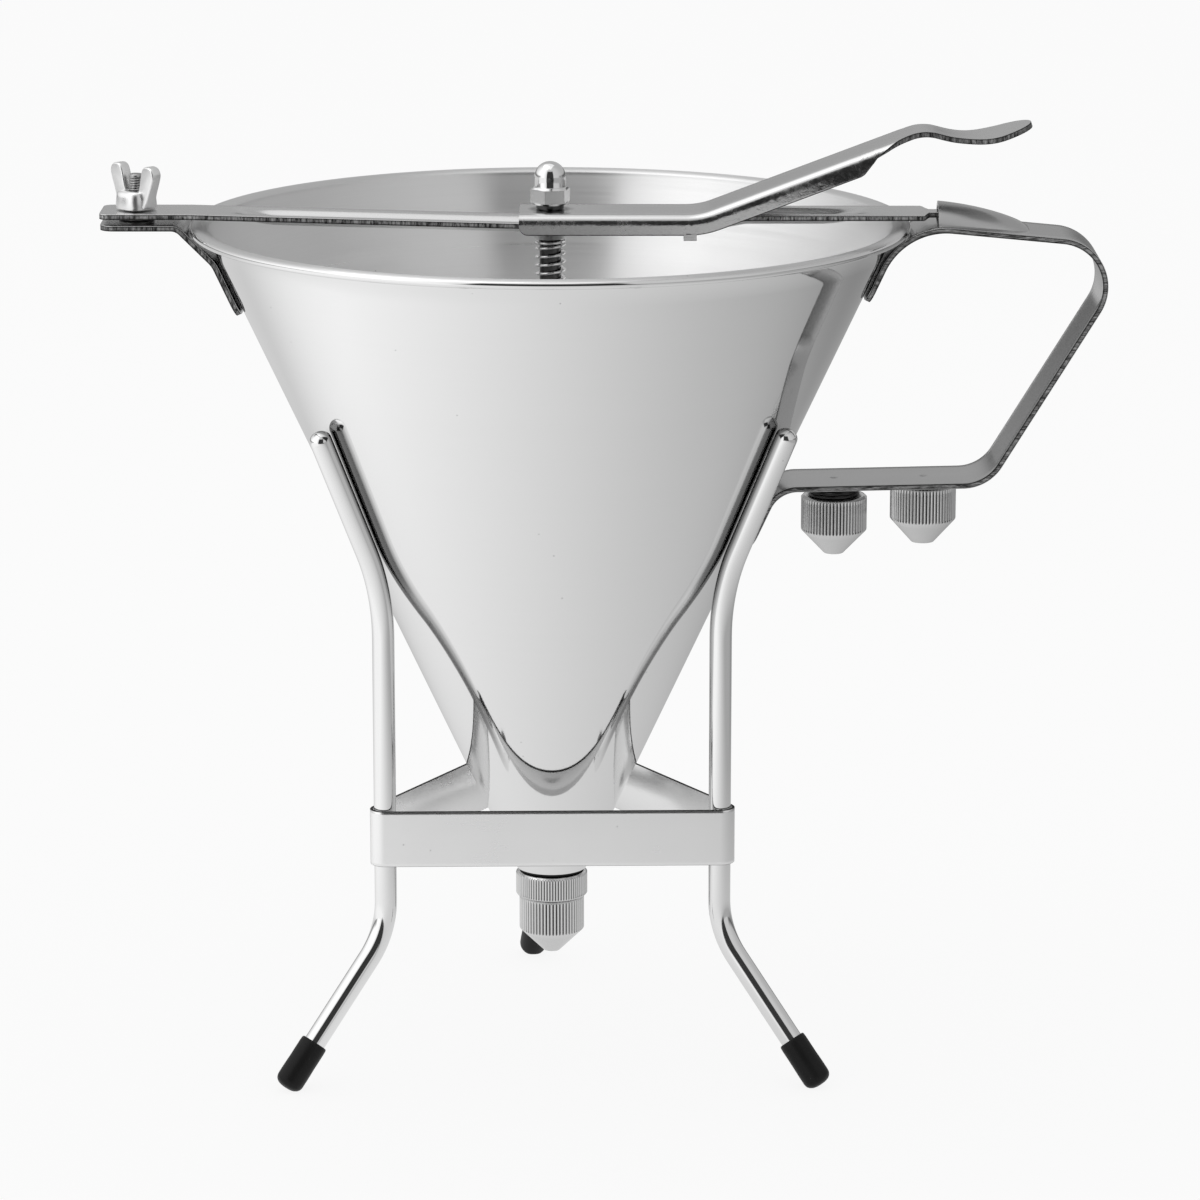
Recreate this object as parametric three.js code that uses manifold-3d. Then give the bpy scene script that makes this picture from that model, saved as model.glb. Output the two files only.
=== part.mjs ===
// Dispensing funnel on a three-legged wire stand.
// A thumb lever on the crossbar lifts a sprung rod, whose tip opens the nozzle under the cone.
// Millimetres, +Z up, floor at z = 0, +X towards the handle.

import * as THREE from 'three';
import { mergeVertices } from 'three/addons/utils/BufferGeometryUtils.js';
import Module from 'manifold-3d';

const wasm = await Module();
wasm.setup();

// Driving dimensions of the funnel cone
const rimRadius = 100;
const spoutHeight = 52.6;
const beadWidth = 4.1;
const beadHeight = 2.7;
const coneHalfAngle = 24.9;
const coneWall = 1;
const spoutRadius = 9.9;

// Clearances shared by neighbouring pieces
const gap = 0.3;
const weldGap = 0.2;
const overrun = 1;

// Straps: the lug on the left and the handle on the right
const strapWidth = 24.6;
const strapThickness = 1.5;
const strapCorner = 4;
const lugRise = 0.1;
const lugReach = 24.1;
const lugEndDrop = 25.2;
const lugSlopeStart = 2.8;
const lugTabRadius = 4;
const lugFlangeRadius = 8;
const handleCrestDrop = 0.25;
const handleDroop = 5.34;
const handleShoulderRadius = 19;
const handleFlangeDrop = 21.4;
const handleReach = 62.4;
const handleCornerRadius = 13;
const handleHeelInset = 40.7;
const handleHeelRadius = 12;
const handleRunDrop = 74.2;
const handleRunTilt = 1.27;
const handleToeRadius = 9;
const handleFlangeEndDrop = 90.3;

// Pressed bridge on the handle that takes the tongue of the crossbar
const bridgeInset = 7.5;
const bridgeLength = 25.5;
const bridgeWidth = 12.5;
const bridgeRise = 4.85;
const bridgeWall = 1.3;
const bridgeHollowShare = 0.85;
const bridgeFullness = 0.8;

// Crossbar with its pressed gutter
const barWidth = 18;
const barThickness = 1.5;
const barCorner = 2.5;
const barReachLeft = 24.5;
const barReachRight = 5.6;
const barTongueLength = 5.5;
const barTongueWidth = 6;
const barDip = 2.5;
const barDipFlatLeft = 8;
const barShoulderStart = 42;
const barShoulderLength = 12;
const barRightDrop = 0.3;
const gutterInset = 13;
const gutterTaper = 12;
const gutterWidth = 9;
const gutterFloorWidth = 6.4;
const gutterDepth = 1.9;
const gutterFloorShare = 0.6;
const gutterLipShare = 0.8;
const drawnCollarTop = 11.7;
const drawnCollarEnd = 8.7;
const drawnCollarHeight = 2;

// Clamp stud and wing nut at the left end
const studReach = 14.8;
const studRadius = 2;
const studLength = 12.6;
const studFlangeRadius = 5;
const studFlangeThickness = 0.8;
const wingBaseRadius = 5.7;
const wingBaseTopRadius = 5.2;
const wingBaseHeight = 5.3;
const wingHeight = 12.4;
const wingSpan = 16.4;
const wingThickness = 2.8;
const wingTipRadius = 1.7;
const wingRootX = 5.9;
const wingNotchX = 3;
const wingTurn = -46;

// Thumb lever: a folded channel that flattens into a paddle
const leverWidth = 22.5;
const leverSheet = 1.5;
const leverFold = 3;
const leverDepth = 5.8;
const leverLeftEnd = 8.5;
const leverRide = 1.23;
const leverBendX = 41.6;
const leverRise = 20.65;
const leverBendRadius = 22;
const leverWallEndX = 86.8;
const leverWallCut = 8;
const leverWallCorner = 2.5;
const paddleNeckWidth = 16.6;
const paddleTaper = 14;
const paddleFlareEnd = 10.5;
const paddleFlareLength = 10.2;
const paddleCrestX = 103;
const paddleCrestRadius = 12;
const paddleFall = 14.6;
const paddleDipX = 117.2;
const paddleDipRadius = 31;
const paddleLift = 17.8;
const paddleTipX = 133.2;
const fulcrumX = 38.7;
const clipWidth = 3.6;
const clipDrop = 1.4;
const clipThickness = 1.3;
const clipReach = 4.7;
const leverSlotLength = 9;
const leverSlotWidth = 7;
const leverSlotOffset = 0.9;

// Piston rod, its cap nut, spring and stop
const rodRadius = 3;
const nutFootRadius = 3.85;
const nutFootHeight = 1.05;
const nutFlats = 9.8;
const nutHexHeight = 4.95;
const nutHeight = 13;
const nutDomeRadius = 4.15;
const nutTurn = 15.2;
const nutCrown = 4;
const springRadius = 3.93;
const springWire = 0.95;
const springPitch = 2.45;
const springLength = 33.5;
const stopRadius = 4.9;
const stopHeight = 3;
const tipRadius = 4;
const tipHeight = 12.4;
const tipSocketDepth = 7;

// Spout: bush, gasket, knurled collar and nozzle
const threadRadius = 7.2;
const bushBore = 5.2;
const bushReach = 15.8;
const bushFlangeHeight = 4.6;
const bushLip = 1.4;
const gasketRadius = 9.3;
const gasketThickness = 0.6;
const collarRadius = 10.2;
const collarHeight = 7.1;
const collarChamfer = 0.5;
const nozzleRadius = 9.25;
const nozzleBodyHeight = 9.8;
const nozzleWall = 1.2;
const nozzleTips = { fine: 2.45, medium: 2.85, coarse: 3.3 };
const nozzleLip = 0.6;
const spareMediumInset = 16.4;
const spareSpacing = 25;
const spareMediumDrop = 3.5;
const spareCoarseDrop = 0.8;
const spareStudLength = 8;

// Stand: three bent legs in a sheet band, with rubber caps
const legRadius = 3.1;
const legCircle = 54.1;
const legTopHeight = 185.4;
const legLeanRadius = 60;
const legSplayHeight = 41.5;
const legSplayAngle = 38.7;
const legSplayRadius = 26;
const legBackSkew = 9;
const legLeftSwing = 12;
const legRightSwing = -7;
const standTurn = 1.1;
const bandSheet = 0.8;
const bandHeight = 16;
const bandTop = 77.5;
const footRadius = 4;
const footLength = 16;
const footCrown = 3;
const footBluntness = 2.6;
const footAxisHeight = 3.25;
const footEndWall = 1;

const mergeTolerance = 1e-4;

// Smoothness: counts, not lengths
const coneSteps = 72;
const roundSteps = 32;
const rodSides = 12;
const arcStep = 9;
const springSteps = 8;
const springSides = 5;

const radians = THREE.MathUtils.degToRad;
const halfSheet = strapThickness / 2;

// Sizes worked out from the driving ones
const coneSlope = Math.tan(radians(coneHalfAngle));
const coneCosine = Math.cos(radians(coneHalfAngle));
const wallAcross = coneWall / coneCosine;
const apexHeight = spoutHeight - spoutRadius / coneSlope;
const beadCentreHeight = apexHeight + (rimRadius - beadWidth) / coneSlope;
const rimHeight = beadCentreHeight + beadHeight / 2;
const coneRadiusAt = (z) => (z - apexHeight) * coneSlope;
const strapOnCone = (gap + halfSheet) / coneCosine;

const lugTop = rimHeight + lugRise;
const studX = rimRadius + studReach;
const barLeft = rimRadius + barReachLeft;
const barRight = rimRadius + barReachRight;
const gutterReach = rimRadius - gutterInset;
const bridgeStart = rimRadius + bridgeInset;
const barBottom = lugTop + studFlangeThickness + 2 * weldGap;
const barTop = barBottom + barThickness;
const barDipTop = barTop - barDip;
const gutterBottom = barDipTop - gutterDepth - barThickness;
const leverWebBottom = barDipTop + leverRide;
const leverWebTop = leverWebBottom + leverSheet;
const nutBottom = leverWebTop + gap;
const rodTop = nutBottom + nutHeight - nutCrown;
const springTop = gutterBottom - drawnCollarHeight - gap;

const gasketTop = spoutHeight - weldGap;
const collarTop = gasketTop - gasketThickness - weldGap;
const nozzleTop = collarTop - collarHeight - gap;
const nozzleConeHeight = nozzleRadius - nozzleTips.fine;
const threadClear = threadRadius + gap;

// Geometry helpers

// A named mesh with its own metal, rubber or plastic finish
function piece(name, geometry, finish) {
  const material = new THREE.MeshStandardMaterial(finish);
  const mesh = new THREE.Mesh(geometry, material);
  mesh.name = name;
  return mesh;
}

// Turns a closed surface so that its faces point out
function facingOut(geometry) {
  const position = geometry.attributes.position;
  const index = geometry.index.array;
  const a = new THREE.Vector3();
  const b = new THREE.Vector3();
  const c = new THREE.Vector3();
  let volume = 0;
  for (let i = 0; i < index.length; i += 3) {
    a.fromBufferAttribute(position, index[i]);
    b.fromBufferAttribute(position, index[i + 1]);
    c.fromBufferAttribute(position, index[i + 2]);
    volume += a.dot(b.cross(c));
  }
  if (volume < 0) {
    for (let i = 0; i < index.length; i += 3) {
      [index[i], index[i + 1]] = [index[i + 1], index[i]];
    }
  }
  return geometry;
}

// Joins rings of points into one closed body, with its two ends capped
function bodyFromRings(rings, capOutline) {
  const count = rings[0].length;
  const points = rings.flat();
  const index = [];
  for (let r = 0; r + 1 < rings.length; r += 1) {
    for (let i = 0; i < count; i += 1) {
      const next = (i + 1) % count;
      const here = r * count;
      const there = here + count;
      index.push(here + i, here + next, there + next);
      index.push(here + i, there + next, there + i);
    }
  }
  const last = (rings.length - 1) * count;
  for (const [a, b, c] of THREE.ShapeUtils.triangulateShape(capOutline, [])) {
    index.push(a, c, b);
    index.push(last + a, last + b, last + c);
  }
  const geometry = new THREE.BufferGeometry().setFromPoints(points);
  geometry.setIndex(index);
  return facingOut(geometry);
}

// A path in the XZ plane through corner points, each corner rounded to its radius
function filletedPath(corners, radii) {
  const path = [corners[0].clone()];
  for (let i = 1; i + 1 < corners.length; i += 1) {
    const here = corners[i];
    const before = corners[i - 1].clone().sub(here).normalize();
    const after = corners[i + 1].clone().sub(here).normalize();
    const half = Math.acos(THREE.MathUtils.clamp(before.dot(after), -1, 1)) / 2;
    const reach = radii[i - 1] / Math.tan(half);
    const middle = before.clone().add(after).normalize();
    const centre = here.clone().addScaledVector(middle, radii[i - 1] / Math.sin(half));
    const start = here.clone().addScaledVector(before, reach).sub(centre);
    const end = here.clone().addScaledVector(after, reach).sub(centre);
    const turn = Math.atan2(start.cross(end), start.dot(end));
    const steps = Math.max(2, Math.ceil(Math.abs(turn) / radians(arcStep)));
    for (let k = 0; k <= steps; k += 1) {
      path.push(start.clone().rotateAround(new THREE.Vector2(), (turn * k) / steps).add(centre));
    }
  }
  path.push(corners[corners.length - 1].clone());
  return path;
}

// Stations along a path: place, distance run and the direction square to the path
function stationsOf(path, extra = []) {
  const run = [0];
  for (let i = 1; i < path.length; i += 1) {
    run.push(run[i - 1] + path[i].distanceTo(path[i - 1]));
  }
  const total = run[run.length - 1];
  const places = path.map((point, i) => ({ point, s: run[i] }));
  for (const s of extra.map((value) => (value < 0 ? total + value : value))) {
    const i = run.findIndex((value) => value > s);
    const part = (s - run[i - 1]) / (run[i] - run[i - 1]);
    places.push({ point: path[i - 1].clone().lerp(path[i], part), s });
  }
  places.sort((one, two) => one.s - two.s);
  return places.map((place, i) => {
    const ahead = places[Math.min(i + 1, places.length - 1)].point.clone().sub(place.point);
    const behind = place.point.clone().sub(places[Math.max(i - 1, 0)].point);
    const along = ahead.normalize().add(behind.normalize()).normalize();
    const bend = ahead.lengthSq() > 0 && behind.lengthSq() > 0 ? ahead.dot(along) : 1;
    return { ...place, total, side: new THREE.Vector2(-along.y, along.x), mitre: 1 / bend };
  });
}

// Carries a section of (across, up) points along the path, square to it
function sweep(path, sectionAt, extra = []) {
  const stations = stationsOf(path, extra);
  const rings = stations.map((station) => {
    return sectionAt(station.s, station.total).map((corner) => {
      const rise = station.side.clone().multiplyScalar(corner.y * station.mitre);
      return new THREE.Vector3(station.point.x + rise.x, corner.x, station.point.y + rise.y);
    });
  });
  return bodyFromRings(rings, sectionAt(0, stations[0].total));
}

const point = (x, z) => new THREE.Vector2(x, z);

// Half the width of a strip whose end corners are rounded off
function roundedHalfWidth(half, corner, distance) {
  if (distance >= corner) {
    return half;
  }
  return half - corner + Math.sqrt(corner ** 2 - (corner - distance) ** 2);
}

// Distances from an end at which a rounded corner needs a station
function cornerRuns(corner, sign = 1) {
  const shares = [0.1, 0.3, 0.6, 1];
  return shares.map((share) => sign * share * corner);
}

// A flat rectangular section
function flatSection(half, thickness) {
  const up = thickness / 2;
  return [point(-half, -up), point(half, -up), point(half, up), point(-half, up)];
}

// A solid of revolution about Z whose profile of (radius, height) closes on itself
function turned(profile, steps = roundSteps) {
  const closed = [...profile, profile[0]].map(([r, z]) => point(r, z));
  const geometry = new THREE.LatheGeometry(closed, steps);
  geometry.rotateX(Math.PI / 2);
  return facingOut(welded(geometry));
}

// Merges the shared corners of a geometry, keeping positions only
function welded(geometry) {
  const bare = geometry.clone();
  bare.deleteAttribute('normal');
  bare.deleteAttribute('uv');
  return mergeVertices(bare, mergeTolerance);
}

// An outline in the XY plane, or in XZ when stood up, given a thickness
function slab(outline, height, base = 0) {
  const geometry = new THREE.ExtrudeGeometry(new THREE.Shape(outline), {
    depth: height,
    bevelEnabled: false,
    curveSegments: 1,
  });
  geometry.translate(0, 0, base);
  return facingOut(welded(geometry));
}

function uprightSlab(outline, width, from) {
  const geometry = slab(outline, width, from);
  geometry.rotateX(Math.PI / 2);
  return facingOut(geometry);
}

// A closed round bar along 3-D points, with a radius at each point
function roundBar(points, radii, sides) {
  const rings = [];
  const side = new THREE.Vector3();
  const other = new THREE.Vector3();
  const along = new THREE.Vector3();
  let reference = null;
  points.forEach((here, i) => {
    const ahead = points[Math.min(i + 1, points.length - 1)];
    const behind = points[Math.max(i - 1, 0)];
    along.subVectors(ahead, behind).normalize();
    if (reference === null) {
      reference = Math.abs(along.y) < 1 / 2 ? new THREE.Vector3(0, 1, 0) : new THREE.Vector3(1, 0, 0);
    }
    side.copy(reference).addScaledVector(along, -reference.dot(along)).normalize();
    reference.copy(side);
    other.crossVectors(along, side);
    const ring = [];
    for (let k = 0; k < sides; k += 1) {
      const angle = (2 * Math.PI * k) / sides;
      const corner = here.clone();
      corner.addScaledVector(side, radii[i] * Math.cos(angle));
      corner.addScaledVector(other, radii[i] * Math.sin(angle));
      ring.push(corner);
    }
    rings.push(ring);
  });
  const cap = rings[0].map((_, k) => {
    const angle = (2 * Math.PI * k) / sides;
    return point(Math.cos(angle), Math.sin(angle));
  });
  return bodyFromRings(rings, cap);
}

// Solids for cutting and joining
function solid(geometry) {
  const bare = welded(geometry);
  const vertProperties = new Float32Array(bare.attributes.position.array);
  const triVerts = new Uint32Array(bare.index.array);
  return new wasm.Manifold(new wasm.Mesh({ numProp: 3, vertProperties, triVerts }));
}

function geometryOf(manifold) {
  const mesh = manifold.getMesh();
  const geometry = new THREE.BufferGeometry();
  geometry.setAttribute('position', new THREE.BufferAttribute(mesh.vertProperties, 3));
  geometry.setIndex(new THREE.BufferAttribute(mesh.triVerts, 1));
  return geometry;
}

function cylinder(radius, from, to, steps = roundSteps) {
  const geometry = new THREE.CylinderGeometry(radius, radius, to - from, steps);
  geometry.rotateX(Math.PI / 2);
  geometry.translate(0, 0, (from + to) / 2);
  return welded(geometry);
}

function block(low, high) {
  const size = high.clone().sub(low);
  const geometry = new THREE.BoxGeometry(size.x, size.y, size.z);
  geometry.translate((low.x + high.x) / 2, (low.y + high.y) / 2, (low.z + high.z) / 2);
  return welded(geometry);
}

const corner3 = (x, y, z) => new THREE.Vector3(x, y, z);

// Finishes, named after the pieces that carry them
const polishedSteel = { color: 0xc4c5c6, roughness: 0.22, metalness: 1 };
const brushedSteel = { color: 0xb2b3b4, roughness: 0.38, metalness: 1 };
const shearedSteel = { color: 0xa6a7a8, roughness: 0.4, metalness: 1 };
const chromedWire = { color: 0xd2d3d4, roughness: 0.12, metalness: 1 };
const knurledSteel = { color: 0xbdbdbd, roughness: 0.35, metalness: 1 };
const zincCast = { color: 0xc9c9c8, roughness: 0.5, metalness: 0.9 };
const springSteel = { color: 0xa9a9a9, roughness: 0.25, metalness: 1 };
const blackRubber = { color: 0x141414, roughness: 0.6, metalness: 0 };

// Funnel cone with its rolled rim
function funnelCone() {
  const beadCentre = rimRadius - beadWidth / 2;
  const profile = [
    [spoutRadius, spoutHeight],
    [coneRadiusAt(beadCentreHeight), beadCentreHeight],
  ];
  const beadSteps = 8;
  for (let k = 1; k < beadSteps; k += 1) {
    const angle = Math.PI * (1 + k / (beadSteps * 3 / 4));
    if (angle < Math.PI * (2 + 1 / 2)) {
      profile.push([
        beadCentre + (beadWidth / 2) * Math.cos(angle),
        beadCentreHeight + (beadHeight / 2) * Math.sin(angle),
      ]);
    }
  }
  profile.push([beadCentre, rimHeight]);
  profile.push([coneRadiusAt(beadCentreHeight) - wallAcross / 2, rimHeight - beadHeight / 4]);
  profile.push([coneRadiusAt(beadCentreHeight) - wallAcross, beadCentreHeight]);
  profile.push([spoutRadius - wallAcross, spoutHeight]);
  return piece('funnel_cone', turned(profile, coneSteps), polishedSteel);
}

// Left lug: a tab beside the rim that bends down onto the cone
function leftLug() {
  const tabMiddle = lugTop - halfSheet;
  const slopeX = rimRadius + lugSlopeStart;
  const slopeSum = tabMiddle - slopeX;
  const meetHeight = (slopeSum + strapOnCone - apexHeight * coneSlope) / (1 - coneSlope);
  const onCone = (z) => point(-(coneRadiusAt(z) + strapOnCone), z);
  const path = filletedPath(
    [
      point(-rimRadius - lugReach, tabMiddle),
      point(-slopeX, tabMiddle),
      onCone(meetHeight),
      onCone(rimHeight - lugEndDrop),
    ],
    [lugTabRadius, lugFlangeRadius],
  );
  const section = (s, total) => {
    const nearest = Math.min(s, total - s);
    return flatSection(roundedHalfWidth(strapWidth / 2, strapCorner, nearest), strapThickness);
  };
  const stations = [...cornerRuns(strapCorner), ...cornerRuns(strapCorner, -1)];
  const strap = solid(sweep(path, section, stations));
  const hole = cylinder(studRadius + gap, lugTop - strapThickness - overrun, lugTop + overrun);
  hole.translate(-studX, 0, 0);
  return piece('left_lug', geometryOf(strap.subtract(solid(hole))), shearedSteel);
}

// Corner points of the handle strap's middle line
function handleCorners() {
  const fall = Math.tan(radians(handleDroop));
  const climb = Math.tan(radians(handleRunTilt));
  const onCone = (z) => point(coneRadiusAt(z) + strapOnCone, z);
  const crest = rimHeight - handleCrestDrop;
  const crestAt = (x) => crest - (x - rimRadius) * fall;
  const offset = strapOnCone - apexHeight * coneSlope;
  const shoulder = (crest - (offset - rimRadius) * fall) / (1 + coneSlope * fall);
  const toe = rimHeight - handleRunDrop;
  const toeX = coneRadiusAt(toe) + strapOnCone;
  const runAt = (x) => toe + (x - toeX) * climb;
  const cornerX = rimRadius + handleReach;
  const heelX = cornerX - handleHeelInset;
  return {
    crestAt,
    runAt,
    toeX,
    points: [
      onCone(rimHeight - handleFlangeDrop),
      onCone(shoulder),
      point(cornerX, crestAt(cornerX)),
      point(heelX, runAt(heelX)),
      onCone(toe),
      onCone(rimHeight - handleFlangeEndDrop),
    ],
  };
}

// Handle: one bent strap with a pressed bridge near the rim
function handleStrap() {
  const { crestAt, points } = handleCorners();
  const radii = [handleShoulderRadius, handleCornerRadius, handleHeelRadius, handleToeRadius];
  const section = (s, total) => {
    const nearest = Math.min(s, total - s);
    return flatSection(roundedHalfWidth(strapWidth / 2, strapCorner, nearest), strapThickness);
  };
  const runs = [...cornerRuns(strapCorner), ...cornerRuns(strapCorner, -1)];
  const strap = solid(sweep(filletedPath(points, radii), section, runs));

  const bridgeEnd = bridgeStart + bridgeLength;
  const floorAt = (x) => crestAt(x) - halfSheet;
  const roofPath = (shares) => shares.map((share) => {
    const x = bridgeStart + share * bridgeLength;
    return point(x, floorAt(x));
  });
  const riseAt = (s, total) => bridgeRise * Math.cos((Math.PI / 2) * Math.min(s / total, 1)) ** bridgeFullness;
  const arch = (half, height, base) => [
    point(-half, base),
    point(half, base),
    point(half - bridgeWall / 2, height - bridgeWall),
    point(half - bridgeWall * 3 / 2, height),
    point(bridgeWall * 3 / 2 - half, height),
    point(bridgeWall / 2 - half, height - bridgeWall),
  ];
  const outer = (s, total) => arch(bridgeWidth / 2, strapThickness + riseAt(s, total), 0);
  const inner = (s, total) => {
    const height = strapThickness + riseAt(s - overrun, total / bridgeHollowShare) - bridgeWall;
    return arch(bridgeWidth / 2 - bridgeWall, height, -overrun);
  };
  const hollowShares = [0.25, 0.5, 0.75, 1].map((share) => share * bridgeHollowShare);
  const mouth = point(bridgeStart - overrun, floorAt(bridgeStart - overrun));
  const hollow = sweep([mouth, ...roofPath(hollowShares)], inner);
  const shell = solid(sweep(roofPath([0, 0.25, 0.5, 0.75, 1]), outer));
  const joined = strap.add(shell).subtract(solid(hollow));
  return piece('handle_strap', geometryOf(joined), shearedSteel);
}

// Crossbar: dipped in the middle, with a gutter pressed along it and a drawn collar for the rod
function crossbar() {
  const middle = barTop - barThickness / 2;
  const right = middle - barRightDrop;
  const low = middle - barDip;
  const path = [
    point(-barLeft, middle),
    point(-rimRadius, middle),
    point(-barDipFlatLeft, low),
    point(barShoulderStart, low),
    point(barShoulderStart + barShoulderLength, right),
    point(barRight, right),
  ];
  const depthAt = (x) => {
    const inside = THREE.MathUtils.clamp((gutterReach - Math.abs(x)) / gutterTaper, 0, 1);
    return gutterDepth * Math.sin((Math.PI / 2) * inside);
  };
  const section = (s) => {
    const x = s - barLeft;
    const half = roundedHalfWidth(barWidth / 2, barCorner, s);
    const floor = Math.min(gutterFloorWidth / 2, half * gutterFloorShare);
    const lip = Math.min(gutterWidth / 2, half * gutterLipShare);
    const up = barThickness / 2;
    const depth = depthAt(x);
    return [
      point(-half, -up), point(-lip, -up), point(-floor, -up - depth), point(floor, -up - depth),
      point(lip, -up), point(half, -up), point(half, up), point(lip, up),
      point(floor, up - depth), point(-floor, up - depth), point(-lip, up), point(-half, up),
    ];
  };
  const taperShares = [0, 0.35, 0.7, 1];
  const gutterRuns = taperShares.flatMap((share) => {
    const x = gutterReach - share * gutterTaper;
    return [barLeft - x, barLeft + x];
  });
  const strip = solid(sweep(path, section, [...cornerRuns(barCorner), ...gutterRuns]));
  const tongue = block(
    corner3(barRight - overrun, -barTongueWidth / 2, right - barThickness / 2),
    corner3(barRight + barTongueLength, barTongueWidth / 2, right + barThickness / 2),
  );
  const drawnTop = gutterBottom + barThickness / 2;
  const drawn = turned([
    [rodRadius + gap, gutterBottom - drawnCollarHeight],
    [drawnCollarEnd / 2, gutterBottom - drawnCollarHeight],
    [drawnCollarTop / 2, gutterBottom],
    [drawnCollarTop / 2, drawnTop],
    [rodRadius + gap, drawnTop],
  ]);
  const rodHole = cylinder(rodRadius + gap, gutterBottom - drawnCollarHeight - overrun, barTop);
  const studHole = cylinder(studRadius + gap, barBottom - overrun, barTop + overrun);
  studHole.translate(-studX, 0, 0);
  const body = strip.add(solid(tongue)).add(solid(drawn));
  const bar = body.subtract(solid(rodHole)).subtract(solid(studHole));
  return piece('crossbar', geometryOf(bar), brushedSteel);
}

// Clamp stud: a flanged, threaded post standing on the lug
function clampStud() {
  const flangeBottom = lugTop + weldGap;
  const flangeTop = flangeBottom + studFlangeThickness;
  const profile = [
    [0, lugTop - strapThickness],
    [studRadius, lugTop - strapThickness],
    [studRadius, flangeBottom],
    [studFlangeRadius, flangeBottom],
    [studFlangeRadius, flangeTop],
    [studRadius, flangeTop],
    [studRadius, flangeBottom + studLength - studRadius / 4],
    [studRadius * 3 / 4, flangeBottom + studLength],
    [0, flangeBottom + studLength],
  ];
  const mesh = piece('clamp_stud', turnedFromAxis(profile), zincCast);
  mesh.position.x = -studX;
  return mesh;
}

// A solid of revolution whose profile starts and ends on the axis
function turnedFromAxis(profile, steps = roundSteps) {
  const geometry = new THREE.LatheGeometry(profile.map(([r, z]) => point(r, z)), steps);
  geometry.rotateX(Math.PI / 2);
  return facingOut(welded(geometry));
}

// Wing nut with two upright wings, clamping the crossbar
function wingNut() {
  const base = turned([
    [studRadius + gap, 0],
    [wingBaseRadius, 0],
    [wingBaseRadius, wingBaseHeight / 4],
    [wingBaseTopRadius, wingBaseHeight],
    [studRadius + gap, wingBaseHeight],
  ]);
  const tip = wingSpan / 2;
  const outline = [
    point(wingRootX / 2, wingBaseHeight / 4),
    point(wingRootX, wingBaseHeight / 3),
    point(tip, wingHeight - wingTipRadius * 3 / 2),
    point(tip - wingTipRadius / 4, wingHeight - wingTipRadius / 2),
    point(tip - wingTipRadius, wingHeight),
    point(tip - wingTipRadius * 2, wingHeight),
    point(tip - wingTipRadius * 5 / 2, wingHeight - wingTipRadius / 4),
    point(wingNotchX, wingBaseHeight),
  ];
  const wing = solid(uprightSlab(outline, wingThickness, -wingThickness / 2));
  const twin = wing.rotate([0, 0, 180]);
  const bore = solid(cylinder(studRadius + gap, -overrun, wingHeight));
  const nut = solid(base).add(wing).add(twin).subtract(bore);
  const mesh = piece('wing_nut', geometryOf(nut), zincCast);
  mesh.position.set(-studX, 0, barTop + gap);
  mesh.rotation.z = radians(wingTurn);
  return mesh;
}

// Section of the lever's channel: a web with two side walls, its folds rounded
function channelSection() {
  const half = leverWidth / 2;
  const top = leverSheet / 2;
  const bottom = top - leverDepth;
  const inner = Math.max(leverFold - leverSheet, leverSheet / 4);
  const shares = [0, 0.5, 1];
  const outerRight = shares.map((share) => {
    const angle = (Math.PI / 2) * share;
    return point(half - leverFold + leverFold * Math.cos(angle), top - leverFold + leverFold * Math.sin(angle));
  });
  const innerRight = shares.map((share) => {
    const angle = (Math.PI / 2) * (1 - share);
    const centre = half - leverSheet - inner;
    return point(centre + inner * Math.cos(angle), top - leverSheet - inner + inner * Math.sin(angle));
  });
  const mirrored = (list) => list.map((corner) => point(-corner.x, corner.y)).reverse();
  return [
    point(half, bottom),
    ...outerRight,
    ...mirrored(outerRight),
    point(-half, bottom),
    point(leverSheet - half, bottom),
    ...mirrored(innerRight),
    ...innerRight,
    point(half - leverSheet, bottom),
  ];
}

// Half width of the paddle at a distance from its tip: a round end, a flare and a narrower neck
function paddleHalfWidth(left) {
  const half = leverWidth / 2;
  const neck = paddleNeckWidth / 2;
  const share = Math.min(Math.max((left - paddleFlareEnd) / paddleFlareLength, 0), 1);
  const flared = half + (neck - half) * ((1 - Math.cos(Math.PI * share)) / 2);
  return Math.max(Math.min(flared, roundedHalfWidth(half, half, left)), leverSheet);
}

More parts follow.
